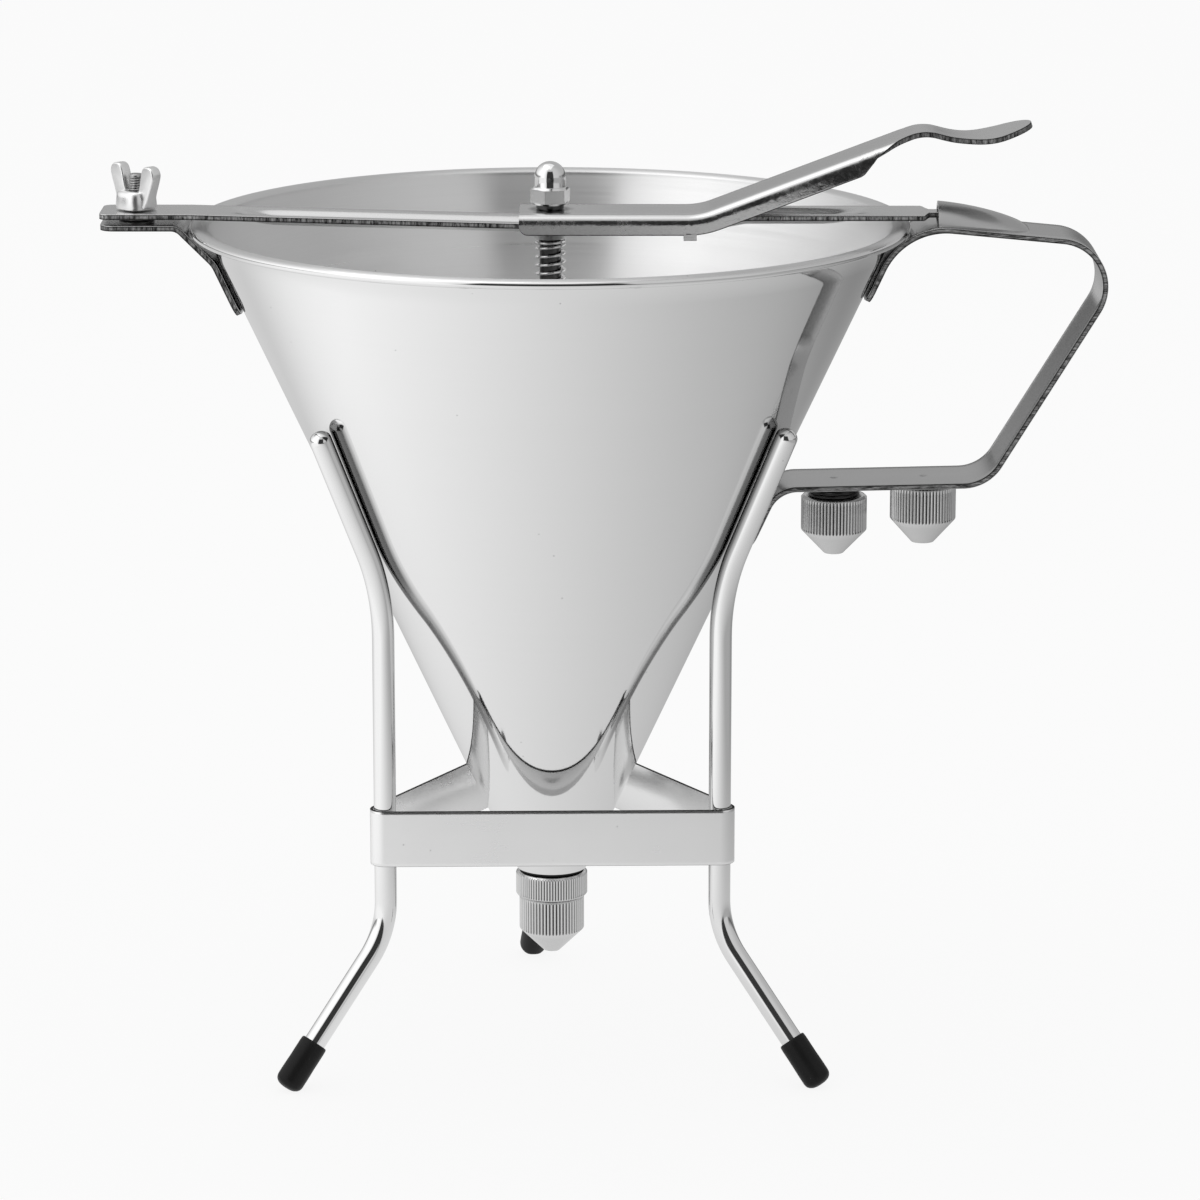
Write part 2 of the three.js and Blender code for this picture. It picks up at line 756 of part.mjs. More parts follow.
// Thumb lever: channel, paddle and the two clips folded under the crossbar
function lever() {
  const middle = leverWebBottom + leverSheet / 2;
  const rise = Math.tan(radians(leverRise));
  const armAt = (x) => point(x, middle + (x - leverBendX) * rise);
  const webCorner = point(leverBendX, middle);
  const channelPath = filletedPath(
    [point(-leverLeftEnd, middle), webCorner, armAt(leverWallEndX + leverWallCut)],
    [leverBendRadius],
  );
  let body = solid(sweep(channelPath, channelSection));

  const crest = armAt(paddleCrestX);
  const dip = point(paddleDipX, crest.y - (paddleDipX - paddleCrestX) * Math.tan(radians(paddleFall)));
  const tip = point(paddleTipX, dip.y + (paddleTipX - paddleDipX) * Math.tan(radians(paddleLift)));
  const paddlePath = filletedPath(
    [armAt(leverWallEndX - leverWallCut), crest, dip, tip],
    [paddleCrestRadius, paddleDipRadius],
  );
  const paddleHalf = leverWidth / 2;
  const flareRuns = [0, 1 / 4, 1 / 2, 3 / 4, 1].map((share) => -(paddleFlareEnd + share * paddleFlareLength));
  const paddle = sweep(
    paddlePath,
    (s, total) => flatSection(paddleHalfWidth(total - s), leverSheet),
    cornerRuns(paddleHalf, -1).concat([-paddleHalf / 4, -paddleHalf * 3 / 4], flareRuns),
  );

  // The side walls stop in a slanted cut, and the web tapers into the paddle
  const wallEnd = armAt(leverWallEndX);
  const cutTop = wallEnd.clone().add(point(leverWallCut / 2, 0));
  const cutter = uprightSlab([
    point(wallEnd.x, wallEnd.y - 2 * leverDepth),
    point(wallEnd.x, wallEnd.y - leverDepth),
    cutTop.clone().add(point(0, -leverSheet)),
    point(cutTop.x + leverWallCut * 2, cutTop.y + leverWallCut),
    point(cutTop.x + leverWallCut * 2, wallEnd.y - 2 * leverDepth),
  ], leverWidth + 2 * overrun, -leverWidth / 2 - overrun);
  const taperStart = wallEnd.x;
  const taperEnd = taperStart + paddleTaper;
  const outside = leverWidth;
  const plan = (sign) => slab([
    point(taperStart, (sign * leverWidth) / 2),
    point(taperEnd, (sign * paddleNeckWidth) / 2),
    point(taperEnd + paddleTaper, (sign * paddleNeckWidth) / 2),
    point(taperEnd + paddleTaper, sign * outside),
    point(taperStart, sign * outside),
  ], 2 * paddleTipX, 0);
  body = body.subtract(solid(cutter)).subtract(solid(plan(1))).subtract(solid(plan(-1)));
  body = body.add(solid(paddle));

  // Rounded lower corners at the left end of the walls
  const wallBottom = leverWebTop - leverDepth;
  const cornerCut = uprightSlab([
    point(-leverLeftEnd - overrun, wallBottom - overrun),
    point(leverWallCorner - leverLeftEnd + overrun, wallBottom - overrun),
    point(leverWallCorner - leverLeftEnd, wallBottom),
    point(leverWallCorner / 4 - leverLeftEnd, wallBottom + leverWallCorner / 3),
    point(-leverLeftEnd, wallBottom + leverWallCorner),
    point(-leverLeftEnd - overrun, wallBottom + leverWallCorner),
  ], leverWidth + 2 * overrun, -leverWidth / 2 - overrun);
  body = body.subtract(solid(cornerCut));

  // Clips: a short finger of each wall, folded in under the crossbar's edge
  const half = leverWidth / 2;
  const clipBottom = wallBottom - clipDrop;
  for (const sign of [-1, 1]) {
    const inner = sign * (half - clipReach);
    const outer = sign * half;
    const wallInner = sign * (half - leverSheet);
    const legBlock = block(
      corner3(fulcrumX - clipWidth / 2, Math.min(wallInner, outer), clipBottom),
      corner3(fulcrumX + clipWidth / 2, Math.max(wallInner, outer), wallBottom + overrun),
    );
    const finger = block(
      corner3(fulcrumX - clipWidth / 2, Math.min(inner, outer), clipBottom),
      corner3(fulcrumX + clipWidth / 2, Math.max(inner, outer), clipBottom + clipThickness),
    );
    body = body.add(solid(legBlock)).add(solid(finger));
  }

  // Slot that lets the rod pass while the lever rocks
  const slot = new THREE.Shape();
  const slotHalf = (leverSlotLength - leverSlotWidth) / 2;
  slot.absarc(slotHalf - leverSlotOffset, 0, leverSlotWidth / 2, -Math.PI / 2, Math.PI / 2);
  slot.absarc(-slotHalf - leverSlotOffset, 0, leverSlotWidth / 2, Math.PI / 2, (3 * Math.PI) / 2);
  const opening = slab(slot.getPoints(roundSteps / 4), leverSheet + 2 * overrun, leverWebBottom - overrun);
  body = body.subtract(solid(opening));
  return piece('lever', geometryOf(body), brushedSteel);
}

// Height at which the piston tip's cone lies just off the inside of the nozzle
function tipConeShift() {
  return gap * Math.SQRT2;
}

// Cone of a nozzle: all nozzles have it equally tall, so a wider bore makes it steeper
function nozzleHeights(tip) {
  const rise = nozzleConeHeight / (nozzleRadius - tip);
  const bodyBottom = -nozzleBodyHeight;
  const tipBottom = bodyBottom - nozzleConeHeight;
  const bore = tip - nozzleLip;
  const innerAt = (radius) => tipBottom + (radius - tip) * rise + nozzleWall * Math.hypot(1, rise);
  return { bodyBottom, tipBottom, bore, innerAt };
}

// Nozzle: a knurled cap with a cone and a round bore
function nozzle(name, tip) {
  const { bodyBottom, tipBottom, bore, innerAt } = nozzleHeights(tip);
  const profile = [
    [bore, tipBottom],
    [tip, tipBottom],
    [nozzleRadius, bodyBottom],
    [nozzleRadius, -collarChamfer],
    [nozzleRadius - collarChamfer, 0],
    [threadClear, 0],
    [threadClear, innerAt(threadClear)],
    [bore, innerAt(bore)],
  ];
  return piece(name, turned(profile), knurledSteel);
}

// Piston: the rod, its tip, the stop under the spring and the cap nut
function pistonRod() {
  const seat = nozzleTop + nozzleHeights(nozzleTips.fine).innerAt(rodRadius);
  const bottom = tipBottomHeight() + tipHeight - tipSocketDepth + gap;
  const chamfer = rodRadius / 4;
  const profile = [
    [0, Math.max(bottom, seat)],
    [rodRadius, Math.max(bottom, seat)],
    [rodRadius, rodTop - chamfer],
    [rodRadius - chamfer, rodTop],
    [0, rodTop],
  ];
  return piece('piston_rod', turnedFromAxis(profile, rodSides * 2), polishedSteel);
}

function tipEndRadius() {
  return nozzleHeights(nozzleTips.fine).bore - gap / 2;
}

function tipBottomHeight() {
  return nozzleTop + nozzleHeights(nozzleTips.fine).innerAt(tipEndRadius()) + tipConeShift();
}

function pistonTip() {
  const bottom = tipBottomHeight();
  const shoulder = bottom + tipRadius - tipEndRadius();
  const top = bottom + tipHeight;
  const profile = [
    [0, bottom],
    [tipEndRadius(), bottom],
    [tipRadius, shoulder],
    [tipRadius, top],
    [rodRadius + gap, top],
    [rodRadius + gap, top - tipSocketDepth],
    [0, top - tipSocketDepth],
  ];
  return piece('piston_tip', turnedFromAxis(profile), polishedSteel);
}

function springStop() {
  const top = springTop - springLength - gap;
  const profile = [
    [rodRadius + gap, top - stopHeight],
    [stopRadius, top - stopHeight],
    [stopRadius, top],
    [rodRadius + gap, top],
  ];
  return piece('spring_stop', turned(profile), polishedSteel);
}

// Cap nut: a hexagon with a domed top, on a round foot narrower than its flats
function capNut() {
  const corner = nutFlats / 2 / Math.cos(Math.PI / 6);
  const hex = new THREE.CylinderGeometry(corner, corner, nutHexHeight, 6);
  hex.rotateX(Math.PI / 2);
  hex.rotateZ(Math.PI / 2);
  hex.translate(0, 0, nutFootHeight + nutHexHeight / 2);
  const hexTop = nutFootHeight + nutHexHeight;
  const chamfer = corner - nutFlats / 2;
  const domeBase = nutHeight - nutDomeRadius;
  const rounding = [0, 0.25, 0.5, 0.75, 1].map((share) => {
    const angle = (Math.PI / 2) * share;
    return [nutDomeRadius * Math.cos(angle), domeBase + nutDomeRadius * Math.sin(angle)];
  });
  const hexBounds = turnedFromAxis([
    [0, nutFootHeight],
    [nutFlats / 2, nutFootHeight],
    [corner, nutFootHeight + chamfer],
    [corner, hexTop - chamfer],
    [nutFlats / 2, hexTop],
    [0, hexTop],
  ]);
  const middle = hexTop / 2;
  const dome = turnedFromAxis([[0, middle], [nutDomeRadius, middle], ...rounding]);
  const foot = turnedFromAxis([[0, 0], [nutFootRadius, 0], [nutFootRadius, middle], [0, middle]]);
  const bore = cylinder(rodRadius + gap, -overrun, rodTop - nutBottom + gap);
  const nut = solid(hex).intersect(solid(hexBounds)).add(solid(dome)).add(solid(foot)).subtract(solid(bore));
  const mesh = piece('cap_nut', geometryOf(nut), chromedWire);
  mesh.position.z = nutBottom;
  mesh.rotation.z = radians(nutTurn);
  return mesh;
}

// Return spring: one helix tube whose ends run straight, square to their seats
function springPoints() {
  const straight = springWire;
  const rise = springLength - 2 * straight;
  const curls = Math.round(rise / springPitch);
  const count = curls * springSteps;
  const points = [corner3(springRadius, 0, 0)];
  for (let k = 0; k <= count; k += 1) {
    const angle = (2 * Math.PI * k) / springSteps;
    const z = straight + (rise * k) / count;
    points.push(corner3(springRadius * Math.cos(angle), springRadius * Math.sin(angle), z));
  }
  points.push(corner3(springRadius, 0, springLength));
  return points;
}

// Least distance between turns of the spring, less the wire's own thickness
function springGap(points) {
  let least = Infinity;
  for (let i = 0; i < points.length; i += 1) {
    for (let k = i + springSteps - 1; k < points.length; k += 1) {
      least = Math.min(least, points[i].distanceTo(points[k]) - springWire);
    }
  }
  return least;
}

function returnSpring() {
  const points = springPoints();
  console.log(`return_spring least gap to itself ${springGap(points).toFixed(2)} mm`);
  const radii = points.map(() => springWire / 2);
  const mesh = piece('return_spring', roundBar(points, radii, springSides), springSteel);
  mesh.position.z = springTop - springLength;
  return mesh;
}

// Spout bush: welded in the cone's end, threaded outside, bored for the tip
function spoutBush() {
  const seat = spoutHeight + gap;
  const clear = wallAcross + gap / coneCosine;
  const flangeTop = seat + bushFlangeHeight;
  const profile = [
    [bushBore, spoutHeight - bushReach],
    [threadRadius, spoutHeight - bushReach],
    [threadRadius, seat],
    [coneRadiusAt(seat) - clear, seat],
    [coneRadiusAt(flangeTop) - clear, flangeTop],
    [coneRadiusAt(flangeTop) - clear - bushLip, flangeTop],
    [bushBore, seat + bushLip],
  ];
  return piece('spout_bush', turned(profile), knurledSteel);
}

function spoutGasket() {
  const profile = [
    [threadClear, gasketTop - gasketThickness],
    [gasketRadius, gasketTop - gasketThickness],
    [gasketRadius, gasketTop],
    [threadClear, gasketTop],
  ];
  return piece('spout_gasket', turned(profile), blackRubber);
}

function collarRing() {
  const bottom = collarTop - collarHeight;
  const profile = [
    [threadClear, bottom],
    [collarRadius - collarChamfer, bottom],
    [collarRadius, bottom + collarChamfer],
    [collarRadius, collarTop - collarChamfer],
    [collarRadius - collarChamfer, collarTop],
    [threadClear, collarTop],
  ];
  return piece('collar_ring', turned(profile), knurledSteel);
}

// Studs welded under the handle, and the spare nozzles screwed onto them
function spareStud(name, x, top) {
  const profile = [
    [0, top - spareStudLength],
    [threadRadius - collarChamfer, top - spareStudLength],
    [threadRadius, top - spareStudLength + collarChamfer],
    [threadRadius, top],
    [0, top],
  ];
  const mesh = piece(name, turnedFromAxis(profile), knurledSteel);
  mesh.position.x = x;
  return mesh;
}

function spares() {
  const { runAt, toeX } = handleCorners();
  const mediumX = toeX + spareMediumInset;
  const coarseX = mediumX + spareSpacing;
  const spacing = gap + threadRadius * Math.tan(radians(handleRunTilt));
  const underside = (x) => runAt(x) - halfSheet / Math.cos(radians(handleRunTilt));
  const medium = nozzle('spare_nozzle_medium', nozzleTips.medium);
  medium.position.set(mediumX, 0, underside(mediumX) - spareMediumDrop);
  const coarse = nozzle('spare_nozzle_coarse', nozzleTips.coarse);
  coarse.position.set(coarseX, 0, underside(coarseX) - spareCoarseDrop);
  return [
    spareStud('stud_medium', mediumX, underside(mediumX) - spacing),
    spareStud('stud_coarse', coarseX, underside(coarseX) - spacing),
    medium,
    coarse,
  ];
}

// Middle line of a leg in its own upright plane: distance from the funnel's axis, height
function legCorners() {
  const lean = (legRadius + gap) / coneCosine;
  const bendHeight = apexHeight + (legCircle - lean) / coneSlope;
  const splay = Math.tan(radians(legSplayAngle));
  return [
    point(coneRadiusAt(legTopHeight) + lean, legTopHeight),
    point(legCircle, bendHeight),
    point(legCircle, legSplayHeight),
    point(legCircle + (legSplayHeight - footAxisHeight) * splay, footAxisHeight),
  ];
}

// The leg's points in space: its leaning end turned aside by the swing, its splayed end by the skew
function legPoints(skew, swing) {
  const path = filletedPath(legCorners(), [legLeanRadius, legSplayRadius]);
  return path.map((place) => {
    const turn = radians(place.y < bandTop ? skew : swing);
    const outwards = Math.max(place.x - legCircle, 0);
    return corner3(place.x, outwards * Math.tan(turn), place.y);
  });
}

function legBar(skew, swing) {
  const points = legPoints(skew, swing);
  const top = points[0];
  const up = top.clone().sub(points[1]).normalize();
  const dome = [1, 0.7, 0.35].map((share) => top.clone().addScaledVector(up, share * legRadius));
  const domeShares = [0.2, 0.7, 0.94];
  const radii = points.map(() => legRadius);
  const end = points[points.length - 1];
  const back = points[points.length - 2].clone().sub(end).normalize();
  end.addScaledVector(back, legRadius / 2);
  return roundBar([...dome, ...points], [...domeShares.map((share) => share * legRadius), ...radii], rodSides);
}

// Rubber cap: a blind tube over the leg's end, its blunt end cut flat at the floor
function footCap(skew, swing) {
  const points = legPoints(skew, swing);
  const end = points[points.length - 1];
  const up = points[points.length - 2].clone().sub(end).normalize();
  const shares = [0.15, 0.5, 0.8, 0.95, 1];
  const crownAt = (share) => footCrown * (1 - share ** footBluntness) ** (1 / footBluntness);
  const domePlaces = shares.map((share) => end.clone().addScaledVector(up, -crownAt(share)));
  const neck = end.clone().addScaledVector(up, footLength - footRadius);
  const outer = roundBar([...domePlaces, neck], [...shares.map((share) => share * footRadius), footRadius], rodSides);
  const boreStart = end.clone().addScaledVector(up, legRadius / 2 - footEndWall);
  const boreEnd = neck.clone().addScaledVector(up, overrun);
  const boreRadius = legRadius + gap;
  const bore = roundBar([boreStart, boreEnd], [boreRadius, boreRadius], rodSides);
  const reach = legCircle + legSplayHeight * 2;
  const floor = block(corner3(0, -legCircle, -footRadius * 2), corner3(reach, legCircle, 0));
  return geometryOf(solid(outer).subtract(solid(bore)).subtract(solid(floor)));
}

// Triangular band of sheet wrapped round the three legs
function triangleBand() {
  const inner = legRadius + gap;
  const outline = (radius) => {
    const points = [];
    for (let corner = 0; corner < 3; corner += 1) {
      const facing = radians(90 + corner * 120);
      const cornerSteps = 6;
      for (let k = 0; k <= cornerSteps; k += 1) {
        const angle = facing + radians(120) * (k / cornerSteps - 1 / 2);
        points.push(point(
          legCircle * Math.cos(facing) + radius * Math.cos(angle),
          legCircle * Math.sin(facing) + radius * Math.sin(angle),
        ));
      }
    }
    return points;
  };
  const outer = solid(slab(outline(inner + bandSheet), bandHeight, bandTop - bandHeight));
  const hollow = solid(slab(outline(inner), bandHeight + 2 * overrun, bandTop - bandHeight - overrun));
  return piece('triangle_band', geometryOf(outer.subtract(hollow)), brushedSteel);
}

// Stand: legs and caps placed round the axis
function stand() {
  const group = new THREE.Group();
  const places = [
    ['left', 210, 0, legLeftSwing],
    ['right', 330, 0, legRightSwing],
    ['back', 90, legBackSkew, 0],
  ];
  for (const [side, azimuth, skew, swing] of places) {
    const leg = piece(`leg_${side}`, legBar(skew, swing), chromedWire);
    const cap = piece(`foot_cap_${side}`, footCap(skew, swing), blackRubber);
    leg.rotation.z = radians(azimuth);
    cap.rotation.z = radians(azimuth);
    group.add(leg, cap);
  }
  group.add(triangleBand());
  group.rotation.z = radians(standTurn);
  return group;
}

// Assembly about the funnel's axis
const mainNozzle = nozzle('nozzle', nozzleTips.fine);
mainNozzle.position.z = nozzleTop;

const assembly = new THREE.Group();
assembly.add(
  stand(),
  funnelCone(),
  leftLug(),
  handleStrap(),
  crossbar(),
  clampStud(),
  wingNut(),
  lever(),
  pistonRod(),
  pistonTip(),
  springStop(),
  capNut(),
  returnSpring(),
  spoutBush(),
  spoutGasket(),
  collarRing(),
  mainNozzle,
  ...spares(),
);

// The origin is the middle of the object's footprint, on the floor
const bounds = new THREE.Box3().setFromObject(assembly, true);
assembly.position.x = -(bounds.min.x + bounds.max.x) / 2;

const funnel = new THREE.Group();
funnel.add(assembly);
funnel.updateMatrixWorld(true);

export default funnel;
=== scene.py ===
# %% [markdown]
# # A dispensing funnel in its wire stand
# A confectioner's funnel: a steel cone on three wire legs, a thumb lever that lifts a sprung rod,
# and knurled nozzles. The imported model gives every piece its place, and this lesson gives each
# one its finished surface and its metal. Lengths are in millimetres until a mesh is made.

# %% Load the frame
import math

import bpy
import numpy as np
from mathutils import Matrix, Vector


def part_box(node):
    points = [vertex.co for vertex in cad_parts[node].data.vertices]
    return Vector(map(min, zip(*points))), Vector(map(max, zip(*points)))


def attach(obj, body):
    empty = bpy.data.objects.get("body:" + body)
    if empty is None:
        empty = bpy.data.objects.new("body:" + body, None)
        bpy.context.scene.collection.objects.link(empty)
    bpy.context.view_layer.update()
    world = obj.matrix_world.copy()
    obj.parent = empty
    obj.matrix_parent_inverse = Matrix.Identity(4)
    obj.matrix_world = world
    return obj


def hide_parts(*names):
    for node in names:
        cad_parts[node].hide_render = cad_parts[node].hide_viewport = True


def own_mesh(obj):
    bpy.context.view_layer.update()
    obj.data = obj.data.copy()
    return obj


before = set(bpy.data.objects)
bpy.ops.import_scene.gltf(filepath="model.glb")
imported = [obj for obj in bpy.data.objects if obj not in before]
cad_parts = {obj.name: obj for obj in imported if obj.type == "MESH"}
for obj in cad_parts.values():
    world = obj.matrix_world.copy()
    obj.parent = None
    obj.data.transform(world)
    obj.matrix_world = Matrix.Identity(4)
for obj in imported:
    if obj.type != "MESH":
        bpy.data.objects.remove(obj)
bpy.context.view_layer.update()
MM = 0.001


def box_mm(node):
    """Lowest and highest corner of a node, in millimetres."""
    low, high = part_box(node)
    return np.array(low) / MM, np.array(high) / MM


def upright_span(node):
    """Height at which a node begins, and how tall it is."""
    low, high = box_mm(node)
    return low[2], high[2] - low[2]


def add_object(name, data):
    """Puts a new object with this data into the scene."""
    obj = bpy.data.objects.new(name, data)
    bpy.context.scene.collection.objects.link(obj)
    return obj


cone_low, cone_high = box_mm("funnel_cone")
AXIS_X = (cone_low[0] + cone_high[0]) / 2
print("funnel axis at x =", round(AXIS_X, 3), "mm; rim at", round(cone_high[2], 2), "mm")

# %% [markdown]
# ## The camera
# The photograph is taken from a little above, with a long lens. Points on the rim, the legs and the
# feet were fitted to a plain pinhole camera, so the picture needs no lens shift.

# %% Camera
CAMERA_MM = (AXIS_X + 13.83, -1381.5, 460.5)
CAMERA_PITCH = 13.429
FOCAL_PIXELS = 5025.2
FRAME_PIXELS = 1200
SENSOR = 36.0

camera_data = bpy.data.cameras.new("view_camera")
camera_data.sensor_width = SENSOR
camera_data.lens = FOCAL_PIXELS / FRAME_PIXELS * SENSOR
camera_data.clip_start = 0.05
camera_data.clip_end = 30.0
camera = add_object("view_camera", camera_data)
camera.location = [value * MM for value in CAMERA_MM]
camera.rotation_euler = (math.radians(90 - CAMERA_PITCH), 0.0, 0.0)
bpy.context.scene.camera = camera
bpy.context.scene.view_settings.view_transform = "Standard"
print("lens", round(camera_data.lens, 1), "mm")

# %% [markdown]
# ## Surfaces from arrays
# Every new surface is a grid of points worked out with numpy. One helper turns a grid into a mesh;
# the others carry a profile round an axis or along a path.

# %% Grid to mesh
MATERIALS = {}  # this lesson's materials by name; the frame has some of the same names


def new_store():
    """Empty lists for points, faces, material slots and the mark carried by each point."""
    return {"points": [], "faces": [], "slots": [], "marks": []}


def add_grid(store, points, wrap_u=False, wrap_v=False, caps=(False, False), slot=0, marks=0.0):
    """Adds a grid of points (rows u, columns v) to a store of vertices and faces.

    Neighbouring points are joined by four-cornered faces. A wrapped direction joins its last row
    or column to its first. A cap closes the first or last row with one flat face.
    """
    points = np.asarray(points, dtype=float)
    rows, cols = points.shape[:2]
    base = sum(len(block) for block in store["points"])
    u = np.arange(rows if wrap_u else rows - 1)
    v = np.arange(cols if wrap_v else cols - 1)
    uu, vv = np.meshgrid(u, v, indexing="ij")
    un, vn = (uu + 1) % rows, (vv + 1) % cols
    quads = np.stack([uu * cols + vv, un * cols + vv, un * cols + vn, uu * cols + vn], axis=-1)
    faces = (quads.reshape(-1, 4) + base).tolist()
    if caps[0]:
        faces.append((base + np.arange(cols)).tolist())
    if caps[1]:
        faces.append((base + (rows - 1) * cols + np.arange(cols)[::-1]).tolist())
    store["points"].append(points.reshape(-1, 3))
    store["marks"].append(np.array(np.broadcast_to(marks, (rows, cols)), dtype=float).ravel())
    store["faces"].extend(faces)
    store["slots"].extend([slot] * len(faces))
    return store


def add_solid(store, grid, slot=0, marks=0.0):
    """Adds a closed skin: a grid that is wrapped across and capped at both its ends."""
    return add_grid(store, grid, wrap_v=True, caps=(True, True), slot=slot, marks=marks)


def signed_volume(points, faces):
    """Sum over fanned triangles of the triple product of their corners, a sixth of it."""
    total = 0.0
    for size in {len(face) for face in faces}:
        group = np.array([face for face in faces if len(face) == size])
        first = points[group[:, 0]]
        for k in range(1, size - 1):
            second, third = points[group[:, k]], points[group[:, k + 1]]
            total += np.einsum("ij,ij->i", first, np.cross(second, third)).sum()
    return total / 6


def piece(name, store, body, node, materials, sharp=35.0):
    """Builds the mesh object of a store, faces outwards, hangs it on its body and hides the node it replaces.
    """
    points = np.vstack(store["points"])
    faces = store["faces"]
    if signed_volume(points, faces) < 0:
        faces = [face[::-1] for face in faces]
    mesh = bpy.data.meshes.new(name)
    mesh.from_pydata((points * MM).tolist(), [], faces)
    for material in materials:
        mesh.materials.append(MATERIALS[material])
    mesh.polygons.foreach_set("material_index", np.array(store["slots"], dtype=np.int32))
    # the edge attribute holds sheared-edge marks above 0 and painted shade (light lost between pieces) below
    # 0
    mark = mesh.attributes.new("edge", "FLOAT", "POINT")
    mark.data.foreach_set("value", np.concatenate(store["marks"]).astype(np.float32))
    mesh.polygons.foreach_set("use_smooth", np.ones(len(mesh.polygons), dtype=bool))
    mesh.set_sharp_from_angle(angle=math.radians(sharp))
    mesh.validate()
    mesh.update()
    obj = add_object(name, mesh)
    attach(obj, body)
    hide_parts(node)
    print(f"{name}: {len(mesh.vertices)} points, {len(mesh.polygons)} faces")
    return obj


# %% Steps, directions and turned pieces
MIDDLE = 0.001  # radius at which a profile ends on its axis


def smooth_step(value, low, high):
    """0 below low, 1 above high, and 3t^2 - 2t^3 between them."""
    t = np.clip((value - low) / (high - low), 0, 1)
    return t * t * (3 - 2 * t)


def cosine_step(value, low, high):
    """0 below low, 1 above high, and half of (1 - cos(pi t)) between them."""
    return 0.5 - 0.5 * np.cos(np.pi * np.clip((value - low) / (high - low), 0, 1))


def quarter_curve(value, size):
    """Height of a quarter circle at a distance from its middle: size at 0, and 0 from size on."""
    return np.sqrt(np.maximum(size ** 2 - np.clip(value, 0, size) ** 2, 0))


def unit(vectors):
    """Vectors that point the same way and are 1 long."""
    return vectors / np.linalg.norm(vectors, axis=-1, keepdims=True)


def whole_turn(steps):
    """Even angles once round, beginning at 0."""
    return np.linspace(0, 2 * np.pi, steps, endpoint=False)


def column(radius, low, high, count):
    """Points of a profile straight up a wall, evenly spaced."""
    return [(radius, z) for z in np.linspace(low, high, count)]


def revolve(store, profile, centre, steps=64, radius=None, closed=True, angles=None, lost=0.0):
    """Carries a profile of (radius, height) round an upright axis.

    The point at angle a is (r cos a, r sin a, z), and radius(a, r, z) may change r on the way.
    The angles are even steps unless they are given. lost is the share of light that is lost at
    the bottom of the grooves that radius() cuts.
    """
    profile = np.asarray(profile, dtype=float)
    a, r = np.meshgrid(whole_turn(steps) if angles is None else angles, profile[:, 0])
    z = np.broadcast_to(profile[:, 1:], a.shape)
    marks = 0.0
    if radius is not None:
        uncut, r = r, radius(a, r, z)
        if lost:
            marks = -lost * (uncut - r) / (uncut - r).max()
    points = np.stack([centre[0] + r * np.cos(a), centre[1] + r * np.sin(a), centre[2] + z], axis=-1)
    return add_grid(store, points, wrap_u=closed, wrap_v=True, marks=marks)


def turned(name, node, body, slot, material, profile, x=AXIS_X, sharp=35.0, **form):
    """A turned piece: its profile carried round an axis, from the foot of its node upwards."""
    store = revolve(new_store(), profile, (x, 0, upright_span(node)[0]), **form)
    return piece(name, store, body, node, [material], sharp)


# %% Paths
def resample(path, spacing):
    """Adds points on the long straight runs, so that no gap is wider than the spacing."""
    pieces = []
    for here, there in zip(path[:-1], path[1:]):
        count = max(1, int(np.ceil(np.linalg.norm(there - here) / spacing)))
        share = np.linspace(0, 1, count, endpoint=False)[:, None]
        pieces.append(here + (there - here) * share)
    pieces.append(path[-1:])
    return np.vstack(pieces)


def fillet_path(corners, radii, step=3.0, spacing=4.0):
    """A plane path through corners, each rounded by an arc that touches both its sides."""
    corners = [np.array(corner, dtype=float) for corner in corners]
    path = [corners[0]]
    for before, here, after, radius in zip(corners, corners[1:], corners[2:], radii):
        one, two = unit(before - here), unit(after - here)
        half = np.arccos(np.clip(one @ two, -1, 1)) / 2
        centre = here + unit(one + two) * radius / np.sin(half)
        start = here + one * radius / np.tan(half) - centre
        end = here + two * radius / np.tan(half) - centre
        turn = np.arctan2(start[0] * end[1] - start[1] * end[0], start @ end)
        count = max(3, int(np.ceil(abs(np.degrees(turn)) / step)))
        t = np.linspace(0, turn, count + 1)
        arc = np.stack([start[0] * np.cos(t) - start[1] * np.sin(t),
                        start[0] * np.sin(t) + start[1] * np.cos(t)], axis=1)
        path.extend(arc + centre)
    path.append(corners[-1])
    return resample(np.array(path), spacing)


def add_stations(path, places):
    """Puts extra points on a path at given distances from its start (or end, if negative)."""
    run = np.concatenate([[0], np.cumsum(np.linalg.norm(np.diff(path, axis=0), axis=1))])
    wanted = np.array([p if p >= 0 else run[-1] + p for p in places])
    every = np.unique(np.round(np.concatenate([run, wanted]), 4))
    every = every[(every >= 0) & (every <= run[-1])]
    return np.stack([np.interp(every, run, column) for column in path.T], axis=1), every


def on_plane(path, across, up):
    """Points of a section carried along a path in the XZ plane.

    y is across. up goes square to the path, along the mean direction of its two sides, and is
    divided by the cosine of half the bend, so the sheet keeps its thickness in a fold.
    """
    step = unit(np.diff(path, axis=0))
    along = unit(np.vstack([step[:1], step[:-1] + step[1:], step[-1:]]))
    mitre = 1 / np.clip(np.sum(along * np.vstack([step[:1], step]), axis=1), 0.5, 1)
    side = np.stack([-along[:, 1], along[:, 0]], axis=1) * mitre[:, None]
    x = AXIS_X + path[:, 0, None] + side[:, 0, None] * up
    z = path[:, 1, None] + side[:, 1, None] * up
    return np.stack([x, across, z], axis=-1)


# %% Rounded strip section
EDGE_ROUND = 0.15
ROUND_POINTS = 4
EDGE_SHARES = np.array([0.05, 0.2, 0.65, 0.92])


